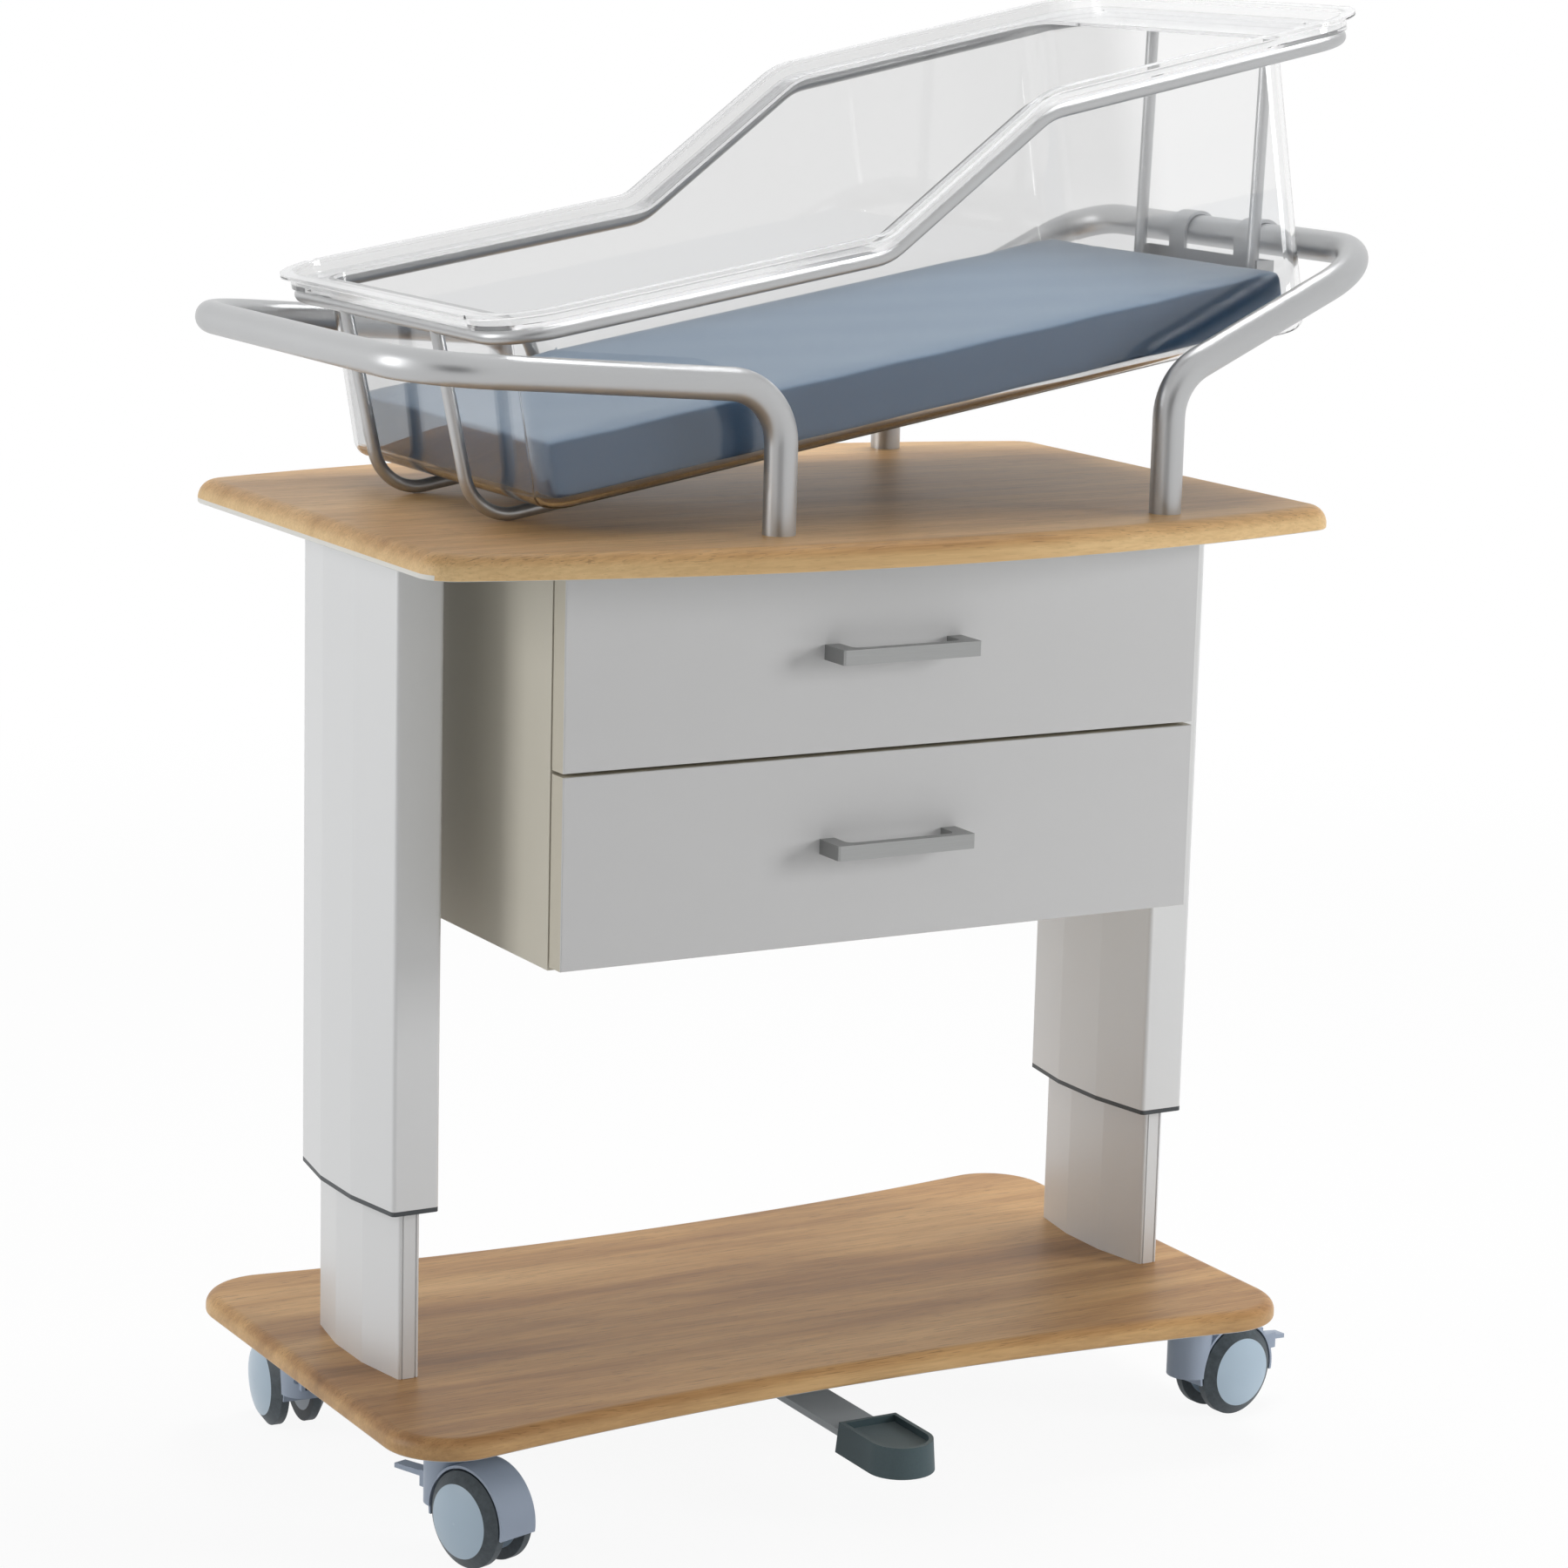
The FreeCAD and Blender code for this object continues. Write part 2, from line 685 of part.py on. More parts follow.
DRAWERS = (
    ("lower", "front_bottom", "front_split - front_gap / 2", "front_bottom + drawer_box_rise", "lower_handle_height"),
    ("upper", "front_split + front_gap / 2", "front_top", "front_split + drawer_box_rise", "upper_handle_height"),
)
FRONT_PLANE = "(cabinet_front + front_gap + front_thickness)"
BAY_SIDE = "(cabinet_width / 2 - panel_thickness)"
RUNNER_SIDE = "(%s - cabinet_runner_thickness - runner_gap)" % BAY_SIDE
BOX_SIDE = "(%s - drawer_runner_thickness)" % RUNNER_SIDE
for name, low, high, box_low, handle_height in DRAWERS:
    front = body("drawer_front_" + name)
    drawing = sketch(front, "XZ", "cabinet_front + front_gap")
    rectangle(drawing, "-cabinet_width / 2", "cabinet_width / 2", low, high)
    pad(front, drawing, "front_thickness")
    rounded(front, "front_edge_round", lambda edge: abs(edge.BoundBox.YMax + value(FRONT_PLANE)) < 1e-4)
    node(front, "drawer_front_" + name)

    box = body("drawer_box_" + name)
    drawing = sketch(box, "XY")
    rectangle(drawing, "-" + BOX_SIDE, BOX_SIDE,
              "-(cabinet_front + front_gap)", "drawer_box_length - cabinet_front - front_gap")
    pad(box, drawing, "drawer_box_height")
    inside = sketch(box, "XY", "drawer_floor")
    rectangle(inside, "drawer_wall - " + BOX_SIDE, BOX_SIDE + " - drawer_wall",
              "drawer_wall - cabinet_front - front_gap",
              "drawer_box_length - cabinet_front - front_gap - drawer_wall")
    pocket(box, inside, "drawer_box_height", backwards=True)
    bind(box, Placement__Base__z=box_low)
    node(box, "drawer_box_" + name)

    for label, reach_in, reach_out in (
            ("drawer_runner_", BOX_SIDE, RUNNER_SIDE),
            ("cabinet_runner_", "(%s + runner_gap)" % RUNNER_SIDE, BAY_SIDE)):
        pair = []
        for sign in ("", "-"):
            rail = body("one_" + label + name)
            drawing = sketch(rail, "YZ", sign + "(" + reach_in + ")")
            rectangle(drawing, "runner_setback - cabinet_front",
                      "runner_setback + runner_length - cabinet_front",
                      box_low + " + runner_rise", box_low + " + runner_rise + runner_height")
            pad(rail, drawing, "%s - (%s)" % (reach_out, reach_in), backwards=sign == "-")
            pair.append(rail)
        node(group(label + name, pair), label + name)

    handle = body("handle_" + name)
    drawing = sketch(handle, "XY")
    outline(drawing, [("-handle_length / 2", "-%s" % FRONT_PLANE),
                      ("-handle_length / 2", "-(%s + handle_reach)" % FRONT_PLANE),
                      ("handle_length / 2", "-(%s + handle_reach)" % FRONT_PLANE),
                      ("handle_length / 2", "-%s" % FRONT_PLANE),
                      ("handle_length / 2 - handle_foot", "-%s" % FRONT_PLANE),
                      ("handle_length / 2 - handle_foot", "handle_bar - %s - handle_reach" % FRONT_PLANE),
                      ("handle_foot - handle_length / 2", "handle_bar - %s - handle_reach" % FRONT_PLANE),
                      ("handle_foot - handle_length / 2", "-%s" % FRONT_PLANE)])
    pad(handle, drawing, "handle_height", both_ways=True)
    rounded(handle, "handle_round", lambda edge: runs_along(edge, ALONG_Z)
            and abs(edge.BoundBox.YMin - value("handle_bar - %s - handle_reach" % FRONT_PLANE)) < 1e-3)
    rounded(handle, "handle_edge_round", lambda edge: runs_along(edge, ALONG_Z)
            and abs(edge.BoundBox.YMin + value("%s + handle_reach" % FRONT_PLANE)) < 1e-3)
    bind(handle, Placement__Base__z=handle_height)
    node(handle, "handle_" + name)


# ---- bent tube rails on the table ----
def table_rail(label, leg, leg_height, end, end_height):
    """A loop of tube: two upright legs, two side runs and one cross run."""
    near = "-rail_half_width"
    far = "rail_half_width"
    points = [(leg, near, "table_top"), (leg, near, leg_height), (end, near, end_height),
              (end, far, end_height), (leg, far, leg_height), (leg, far, "table_top")]
    return bent_bar(label, "rail_radius", points,
                    ["rail_leg_round", "rail_corner_round", "rail_corner_round", "rail_leg_round"])


for end_name in ("foot", "head"):
    rail = end_name + "_rail"
    node(table_rail(rail, rail + "_leg", "table_top + %s_leg_rise" % rail,
                    rail + "_end", "table_top + %s_end_rise" % rail), rail)

bolt_form = body("rail_bolt_form")
drawing = sketch(bolt_form, "XY")
circle(drawing, 0, 0, "rail_bolt_radius")
pad(bolt_form, drawing, "rail_bolt_thickness", backwards=True)
drawing = sketch(bolt_form, "XY")
circle(drawing, 0, 0, "rail_bolt_socket")
pocket(bolt_form, drawing, "rail_bolt_thickness / 2", backwards=True)
bolts = []
for leg in ("foot_rail_leg", "head_rail_leg"):
    for sign in ("-", "+"):
        bolt = group("rail_bolt_place", [bolt_form])
        bind(bolt, Placement__Base__x=leg, Placement__Base__y=sign + "rail_half_width",
             Placement__Base__z=TABLE_UNDER)
        bolts.append(bolt)
node(group("rail_bolts", bolts), "rail_bolts")


# ---- the cradle's own frame: origin under the centre of the rods' foot bends ----
def tilted(thing):
    """Set a piece of the cradle, tub or mattress at the tilt it rests at."""
    rocker = "(rocker_round + rod_radius)"
    turn = FreeCAD.Rotation(FreeCAD.Vector(0, -1, 0), value("cradle_tilt"))
    thing.Placement = FreeCAD.Placement(FreeCAD.Vector(0, 0, 0), turn)
    bind(thing, Placement__Rotation__Angle="cradle_tilt")
    bind(thing, Placement__Base__x="cradle_pivot + %s * sin(cradle_tilt * 1 deg)" % rocker,
         Placement__Base__z="table_top + cradle_rest_gap + %s * (1 - cos(cradle_tilt * 1 deg))" % rocker)
    return thing


RISE_ANGLE = "atan((rim_high - rim_low) / (high_knee - low_knee))"
HEAD_ANGLE = "atan(rim_head_rise / (rim_head - high_knee))"


def rim_line(shift, overrun=0):
    """The side view of the rim, from foot to head, moved square to itself by a shift."""
    shift = "(%s)" % shift
    middle = "((%s + %s) / 2)" % (RISE_ANGLE, HEAD_ANGLE)
    half = "((%s - %s) / 2)" % (RISE_ANGLE, HEAD_ANGLE)
    return [("rim_foot - %s" % overrun, "rim_low + %s" % shift),
            ("low_knee - %s * tan(%s / 2)" % (shift, RISE_ANGLE), "rim_low + %s" % shift),
            ("high_knee - %s * sin(%s) / cos(%s)" % (shift, middle, half),
             "rim_high + %s * cos(%s) / cos(%s)" % (shift, middle, half)),
            ("rim_head + %s" % overrun,
             "rim_high + %s / cos(%s) + (rim_head - high_knee + %s) * tan(%s)"
             % (shift, HEAD_ANGLE, overrun, HEAD_ANGLE))]


# the rim tube is bent in two halves that are welded at the middle of each end
halves = []
for sign in ("-", "+"):
    side = [(across, sign + "rim_half_width", up) for across, up in rim_line(0)]
    ends = [(side[0][0], "0", side[0][2]), (side[-1][0], "0", side[-1][2])]
    halves.append(bent_bar("rim_half", "rim_radius", [ends[0]] + side + [ends[1]],
                           ["rim_corner_round", "rim_knee_round", "rim_knee_round", "rim_corner_round"]))
rim_form = joined("cradle_rim_form", halves)
node(tilted(group("cradle_rim", [rim_form])), "cradle_rim")

# the foot bends are centred over the cradle's origin, about which the cradle turns
LEG_RISE = "(rim_low - rod_radius - rocker_round)"
LEG_LEAN = ("(atan(%s / -rim_foot) + asin(rocker_round / sqrt(rim_foot * rim_foot + %s * %s)))"
            % (LEG_RISE, LEG_RISE, LEG_RISE))
rods = []
for sign in ("-", "+"):
    points = [("rim_foot", sign + "rod_half_spacing", "rim_low"),
              ("rim_foot + (rim_low - rod_radius) / tan(%s)" % LEG_LEAN,
               sign + "rod_half_spacing", "rod_radius"),
              ("rod_head_foot", sign + "rod_half_spacing", "rod_radius"),
              ("rim_head - 4", sign + "rod_half_spacing", "rim_high + rim_head_rise - 1")]
    rods.append(bent_bar("cradle_rod", "rod_radius", points, ["rocker_round", "rod_head_round"]))
coped_rods = less("cradle_rods_form", group("cradle_rods_full", rods), rim_form)
node(tilted(group("cradle_rods", [coped_rods])), "cradle_rods")

# the hook plate is folded back to the rods at both ends and hooks over the head rail's cross run
BAR_INSIDE = "(head_rail_end - rail_radius - hook_gap)"
BAR_HEIGHT = "(table_top + head_rail_end_rise)"
HOOK_HIGH = "(table_top + head_rail_end_rise - hook_plate_drop)"
HOOK_LOW = "(%s - hook_plate_height)" % HOOK_HIGH
hook = body("cradle_hook_plate")
drawing = sketch(hook, "XY", HOOK_LOW)
HOOK_HALF = "(rod_half_spacing + rod_radius + hook_plate_thickness)"
outline(drawing, [(BAR_INSIDE, "-" + HOOK_HALF), (BAR_INSIDE, HOOK_HALF),
                  ("hook_return_end", HOOK_HALF),
                  ("hook_return_end", HOOK_HALF + " - hook_plate_thickness"),
                  (BAR_INSIDE + " - hook_plate_thickness", HOOK_HALF + " - hook_plate_thickness"),
                  (BAR_INSIDE + " - hook_plate_thickness", "hook_plate_thickness - " + HOOK_HALF),
                  ("hook_return_end", "hook_plate_thickness - " + HOOK_HALF),
                  ("hook_return_end", "-" + HOOK_HALF)])
pad(hook, drawing, "hook_plate_height")
arch = sketch(hook, "YZ", BAR_INSIDE)
outline(arch, [("-hook_plate_arch", HOOK_LOW), ("hook_plate_arch", HOOK_LOW),
               ("hook_plate_arch", HOOK_HIGH + " - 2 * hook_arch_round"),
               ("hook_plate_arch - hook_arch_round", HOOK_HIGH + " - hook_arch_round"),
               ("hook_arch_round - hook_plate_arch", HOOK_HIGH + " - hook_arch_round"),
               ("-hook_plate_arch", HOOK_HIGH + " - 2 * hook_arch_round")],
        {2: "hook_arch_round", 4: "hook_arch_round"})
pocket(hook, arch, "hook_plate_thickness")
WRAP = "(hook_strap_wrap * 1 deg)"
STRAP_IN = "(rail_radius + hook_gap)"
STRAP_OUT = "(rail_radius + hook_gap + hook_plate_thickness)"
for sign in ("-", ""):
    strap = sketch(hook, "XZ", sign + "hook_strap_place - hook_strap_width / 2")
    outline(strap, [("head_rail_end - " + STRAP_OUT, HOOK_HIGH + " - hook_strap_overlap"),
                    ("head_rail_end - " + STRAP_IN, HOOK_HIGH + " - hook_strap_overlap"),
                    ("head_rail_end - " + STRAP_IN, BAR_HEIGHT),
                    ("head_rail_end + %s * cos(%s)" % (STRAP_IN, WRAP),
                     BAR_HEIGHT + " + %s * sin(%s)" % (STRAP_IN, WRAP)),
                    ("head_rail_end + %s * cos(%s)" % (STRAP_OUT, WRAP),
                     BAR_HEIGHT + " + %s * sin(%s)" % (STRAP_OUT, WRAP)),
                    ("head_rail_end - " + STRAP_OUT, BAR_HEIGHT)],
            {4: STRAP_OUT}, {2: STRAP_IN})
    pad(hook, strap, "hook_strap_width")
node(hook, "cradle_hook_plate")


# ---- clear tub ----
def end_to_end(label, grow, low, high):
    """A prism between the tub's plan outline grown by a size and two heights."""
    made = body(label)
    drawing = sketch(made, "XY", low)
    rectangle(drawing, "tub_foot - (%s)" % grow, "tub_head + (%s)" % grow,
              "-tub_half_width - (%s)" % grow, "tub_half_width + (%s)" % grow)
    pad(made, drawing, "(%s) - (%s)" % (high, low))
    return made


def rim_prism(label, half_width, foot, head, corner):
    """A tall prism with round corners, the plan of one part of the flange."""
    made = body(label)
    drawing = sketch(made, "XY", "rim_low - cut_margin")
    rectangle(drawing, foot, head, "-(%s)" % half_width, half_width)
    pad(made, drawing, "rim_high + rim_head_rise - rim_low + 2 * cut_margin")
    rounded(made, corner, lambda edge: runs_along(edge, ALONG_Z))
    return made


def rim_slab(label, low_shift, high_shift):
    """All that lies between two heights above the rim's centre, or from the tub's bottom up to one."""
    made = body(label)
    drawing = sketch(made, "XZ")
    high = rim_line(high_shift, "cut_margin")
    lines = [(high, high_shift)]
    low = [("rim_foot - cut_margin", "tub_bottom - cut_margin"),
           ("rim_head + cut_margin", "tub_bottom - cut_margin")]
    if low_shift is not None:
        low = rim_line(low_shift, "cut_margin")
        lines.append((low, low_shift))
    outline(drawing, low + high[::-1])
    pad(made, drawing, "2 * rim_half_width + 2 * cut_margin", both_ways=True)
    for line, shift in lines:
        for knee, way in ((line[1], "-"), (line[2], "+")):
            rounded(made, "rim_knee_round %s (%s)" % (way, shift),
                    lambda edge: runs_along(edge, ALONG_Y)
                    and abs(edge.BoundBox.XMin - value(knee[0])) < 1e-3
                    and abs(edge.BoundBox.ZMin - value(knee[1])) < 1e-3)
    return made


SEAT = "(rim_radius + tub_seat_gap)"
SEAT_TOP = "(rim_radius + tub_seat_gap + flange_thickness)"
OUT_HALF = "(rim_half_width + flange_overhang)"
OUT_FOOT = "(rim_foot - flange_overhang)"
OUT_HEAD = "(rim_head + flange_overhang)"
OUT_ROUND = "(rim_corner_round + flange_overhang)"

ABOVE_RIM = "rim_high + rim_head_rise + cut_margin"
outer_block = end_to_end("tub_outer_block", "0", "tub_bottom", ABOVE_RIM)
rounded(outer_block, "tub_corner_round", lambda edge: runs_along(edge, ALONG_Z))
rounded(outer_block, "tub_bottom_round", lambda edge: lies_at_height(edge, value("tub_bottom")))
inner_block = end_to_end("tub_inner_block", "-tub_wall", "tub_bottom + tub_wall", ABOVE_RIM)
rounded(inner_block, "tub_corner_round - tub_wall", lambda edge: runs_along(edge, ALONG_Z))
rounded(inner_block, "tub_bottom_round - tub_wall",
        lambda edge: lies_at_height(edge, value("tub_bottom + tub_wall")))
flange_out = rim_prism("flange_outside", OUT_HALF, OUT_FOOT, OUT_HEAD, OUT_ROUND)
flange_in = rim_prism("flange_inside", OUT_HALF + " - flange_thickness", OUT_FOOT + " + flange_thickness",
                      OUT_HEAD + " - flange_thickness", OUT_ROUND + " - flange_thickness")
lip_out = rim_prism("lip_outside", OUT_HALF + " + lip_reach", OUT_FOOT + " - lip_reach",
                    OUT_HEAD + " + lip_reach", OUT_ROUND + " + lip_reach")
walls = shared("tub_walls", [outer_block, rim_slab("tub_height", None, SEAT_TOP)])
shoulder = shared("tub_shoulder", [flange_out, rim_slab("shoulder_height", SEAT, SEAT_TOP)])
upstand = shared("tub_upstand", [less("upstand_ring", flange_out, flange_in),
                                 rim_slab("upstand_height", SEAT, "flange_rise")])
lip = shared("tub_lip", [less("lip_ring", lip_out, flange_in),
                         rim_slab("lip_height", "flange_rise - flange_thickness", "flange_rise")])
slots = []
for place in ("(%s + slot_inset)" % OUT_FOOT, "(%s - slot_inset - slot_width)" % OUT_HEAD):
    for sign in ("-", ""):
        slot = body("tub_slot")
        drawing = sketch(slot, "XY", "rim_low")
        ends = sorted([sign + "(slot_place - slot_length / 2)",
                       sign + "(slot_place + slot_length / 2)"], key=value)
        rectangle(drawing, place, place + " + slot_width", ends[0], ends[1])
        pad(slot, drawing, "rim_high + rim_head_rise")
        slots.append(slot)
tub_full = joined("tub_full", [walls, shoulder, upstand, lip])
tub = less("tub", tub_full, group("tub_cuts", [inner_block] + slots))
node(tilted(tub), "tub")

# ---- mattress ----
mattress = body("mattress")
drawing = sketch(mattress, "XY", "mattress_bottom")
rectangle(drawing, "mattress_foot", "mattress_foot + mattress_length",
          "-mattress_width / 2", "mattress_width / 2")
pad(mattress, drawing, "mattress_thickness")
rounded(mattress, "mattress_corner_round", lambda edge: runs_along(edge, ALONG_Z))
rounded(mattress, "mattress_edge_round",
        lambda edge: lies_at_height(edge, value("mattress_bottom + mattress_thickness"))
        or lies_at_height(edge, value("mattress_bottom")))
node(tilted(mattress), "mattress")


# ---- castors, drawn with the stem at the origin and the wheels trailing along +X ----
STEM_TOP = "(base_top - base_thickness - stem_clear)"
SWIVEL_UNDER = "(base_top - base_thickness - cross_plate_thickness - swivel_plate_thickness)"


def hood_form(label, pin_place, ear_root):
    """The hood of a castor, with ears for its brake lever between two places along X."""
    made = body(label)
    drawing = sketch(made, "XZ")
    circle(drawing, "castor_trail", "wheel_radius", "hood_radius")
    pad(made, drawing, "hood_width", both_ways=True)
    drawing = sketch(made, "XY", "wheel_radius")
    circle(drawing, 0, 0, "swivel_radius")
    pad(made, drawing, SWIVEL_UNDER + " - swivel_gap - wheel_radius")
    drawing = sketch(made, "XY", SWIVEL_UNDER + " - swivel_gap")
    circle(drawing, 0, 0, "stem_radius")
    pad(made, drawing, "%s - %s + swivel_gap" % (STEM_TOP, SWIVEL_UNDER))
    outward, inward = ("-", "+") if value(pin_place) < value(ear_root) else ("+", "-")
    ears = sketch(made, "XZ")
    edges = sorted(["%s %s (brake_barrel_radius + brake_ear_margin)" % (pin_place, outward), ear_root],
                   key=value)
    rectangle(ears, edges[0], edges[1], "brake_pin_height - brake_barrel_radius - brake_ear_margin",
              "brake_pin_height + brake_barrel_radius + brake_ear_margin")
    pad(made, ears, "brake_width + 2 * brake_gap + 2 * brake_ear", both_ways=True)
    slot = sketch(made, "XZ")
    edges = sorted(["%s %s (brake_barrel_radius + brake_slot_clear)" % (pin_place, inward),
                    "%s %s (brake_barrel_radius + brake_slot_margin)" % (pin_place, outward)], key=value)
    rectangle(slot, edges[0], edges[1], "brake_pin_height - brake_barrel_radius - brake_slot_margin",
              "brake_pin_height + brake_barrel_radius + brake_slot_margin")
    pocket(made, slot, "brake_width + 2 * brake_gap", both_ways=True)
    for sign in ("", "-"):
        space = sketch(made, "XZ", sign + "hood_web / 2")
        circle(space, "castor_trail", "wheel_radius", "hood_radius - hood_wall")
        pocket(made, space, backwards=sign == "")
    foot = sketch(made, "XZ")
    rectangle(foot, "castor_trail - 2 * hood_radius", "castor_trail + 2 * hood_radius",
              "-wheel_radius", "wheel_radius - hood_drop")
    pocket(made, foot, "2 * hood_width", both_ways=True)
    bore = sketch(made, "XZ")
    circle(bore, "castor_trail", "wheel_radius", "axle_radius + axle_gap")
    pocket(made, bore, "2 * hood_width", both_ways=True)
    bore = sketch(made, "XZ")
    circle(bore, pin_place, "brake_pin_height", "brake_pin_radius + brake_pin_play")
    pocket(made, bore, "2 * hood_width", both_ways=True)
    return made


def lever_form(label, pin_place, reach, away):
    """A brake lever: barrel, pin and a flat pedal that reaches away from the hood."""
    made = body(label)
    drawing = sketch(made, "XZ")
    circle(drawing, pin_place, "brake_pin_height", "brake_barrel_radius")
    pad(made, drawing, "brake_width", both_ways=True)
    drawing = sketch(made, "XZ")
    circle(drawing, pin_place, "brake_pin_height", "brake_pin_radius")
    pad(made, drawing, "brake_width + 2 * brake_gap + 2 * brake_ear", both_ways=True)
    drawing = sketch(made, "XZ")
    tip = "%s %s %s" % (pin_place, away, reach)
    outline(drawing, [(pin_place, "brake_pin_height"),
                      (tip, "brake_pin_height - brake_thickness / 2"),
                      (tip, "brake_pin_height + brake_thickness / 2"),
                      (pin_place, "brake_pin_height + brake_barrel_radius")][::-1 if away == "-" else 1])
    pad(made, drawing, "brake_width", both_ways=True)
    return made


NEAR_PIN = "(castor_trail - near_pin_offset)"
FAR_PIN = "(castor_trail + far_pin_offset)"
hood_near = hood_form("castor_hood_near_form", NEAR_PIN, "-swivel_radius / 2")
hood_far = hood_form("castor_hood_far_form", FAR_PIN, "castor_trail + hood_radius - ear_overlap")
lever_near = lever_form("castor_lever_near_form", NEAR_PIN, "brake_reach_foot", "-")
lever_far = lever_form("castor_lever_far_form", FAR_PIN, "brake_reach_head", "+")

wheel_form = body("castor_wheel_form")
drawing = sketch(wheel_form, "XY")
DOME_TOP = "(wheel_ring_face + wheel_dome)"
DOME_ROUND = "((wheel_ring_radius * wheel_ring_radius + wheel_dome * wheel_dome) / (2 * wheel_dome))"
outline(drawing, [("0", "-" + DOME_TOP), ("wheel_ring_radius", "-wheel_ring_face"),
                  ("wheel_ring_radius", "-wheel_inner_face"), ("axle_radius", "-wheel_inner_face"),
                  ("axle_radius", "wheel_inner_face"), ("wheel_ring_radius", "wheel_inner_face"),
                  ("wheel_ring_radius", "wheel_ring_face"), ("0", DOME_TOP)],
        {0: DOME_ROUND, 6: DOME_ROUND})
turned(wheel_form, drawing, "V_Axis")

tyre_forms = []
for sign in ("-", ""):
    tyre = body("castor_tyre_form")
    drawing = sketch(tyre, "XY")
    ring = [("wheel_ring_radius", sign + "wheel_inner_face"), ("wheel_radius", sign + "wheel_inner_face"),
            ("wheel_radius", sign + "wheel_tread_edge"), ("wheel_ring_radius", sign + "wheel_ring_face")]
    outline(drawing, ring)
    turned(tyre, drawing, "V_Axis")
    tyre_forms.append(tyre)
tyres_form = group("castor_tyres_form", tyre_forms)

swivel_form = body("castor_swivel_form")
drawing = sketch(swivel_form, "XY", SWIVEL_UNDER)
circle(drawing, 0, 0, "swivel_plate_radius")
pad(swivel_form, drawing, "swivel_plate_thickness")
drawing = sketch(swivel_form, "XY", SWIVEL_UNDER)
circle(drawing, 0, 0, "stem_radius + stem_gap")
pocket(swivel_form, drawing, backwards=True)

CASTORS = (
    ("foot_front", "-", "-", hood_near, lever_near),
    ("foot_back", "-", "", hood_near, lever_near),
    ("head_front", "+", "-", hood_far, lever_far),
    ("head_back", "+", "", hood_far, lever_far),
)
swivel_plates = []
for place, sign_x, sign_y, hood_shape, lever_shape in CASTORS:
    swing = "swing_" + place
    stem_x = "castors_to_head %s castor_spread" % sign_x
    stem_y = sign_y + "castor_half_spacing"
    for label, form in (("castor_hood_", hood_shape), ("castor_brake_", lever_shape)):
        placed = group(label + place, [form])
        placed.Placement = FreeCAD.Placement(FreeCAD.Vector(0, 0, 0), FreeCAD.Rotation(ALONG_Z, 1))
        bind(placed, Placement__Base__x=stem_x, Placement__Base__y=stem_y,
             Placement__Rotation__Angle=swing)
        node(placed, label + place)
    for label, form in (("castor_wheel_", wheel_form), ("castor_tyres_", tyres_form)):
        placed = group(label + place, [form])
        placed.Placement = FreeCAD.Placement(FreeCAD.Vector(0, 0, 0), FreeCAD.Rotation(ALONG_Z, 1))
        bind(placed, Placement__Base__x=stem_x + " + castor_trail * cos(%s * 1 deg)" % swing,
             Placement__Base__y=stem_y + " + castor_trail * sin(%s * 1 deg)" % swing,
             Placement__Base__z="wheel_radius", Placement__Rotation__Angle=swing)
        node(placed, label + place)
    plate = group("castor_swivel_place", [swivel_form])
    bind(plate, Placement__Base__x=stem_x, Placement__Base__y=stem_y)
    swivel_plates.append(plate)
node(group("castor_swivel_plates", swivel_plates), "castor_swivel_plates")

# ---- foot pedal, on a pin in a bracket under the beam ----
CHEEK_INSIDE = "(pedal_arm_width / 2 + pedal_side_gap)"
cheeks = []
for sign in ("-", "+"):
    cheek = body("pedal_cheek")
    drawing = sketch(cheek, "YZ", "pedal_place %s %s" % (sign, CHEEK_INSIDE))
    outline(drawing, [("-beam_width / 2", BEAM_UNDER),
                      ("-pedal_barrel_radius", "pedal_pin_height - pedal_barrel_radius"),
                      ("pedal_barrel_radius", "pedal_pin_height - pedal_barrel_radius"),
                      ("beam_width / 2", BEAM_UNDER)])
    pad(cheek, drawing, "pedal_cheek_thickness", backwards=sign == "-")
    bore = sketch(cheek, "YZ")
    circle(bore, 0, "pedal_pin_height", "pedal_pin_radius")
    pocket(cheek, bore, "2 * beam_width", both_ways=True)
    cheeks.append(cheek)
node(group("pedal_bracket", cheeks), "pedal_bracket")

pin = body("pedal_pin")
drawing = sketch(pin, "YZ", "pedal_place")
circle(drawing, 0, "pedal_pin_height", "pedal_pin_radius")
pad(pin, drawing, "2 * (%s + pedal_cheek_thickness + pedal_pin_end)" % CHEEK_INSIDE, both_ways=True)
node(pin, "pedal_pin")

arm = body("pedal_arm")
drawing = sketch(arm, "YZ", "pedal_place")
circle(drawing, 0, "pedal_pin_height", "pedal_barrel_radius")
pad(arm, drawing, "pedal_arm_width", both_ways=True)
ARM_TOP = "(pedal_pin_height + pedal_barrel_radius)"
drawing = sketch(arm, "YZ", "pedal_place")
rectangle(drawing, "-pedal_arm_length", "0", ARM_TOP + " - pedal_arm_thickness", ARM_TOP)
pad(arm, drawing, "pedal_arm_width", both_ways=True)
bore = sketch(arm, "YZ")
circle(bore, 0, "pedal_pin_height", "pedal_pin_radius + pedal_gap")
pocket(arm, bore, "2 * beam_width", both_ways=True)
node(arm, "pedal_arm")

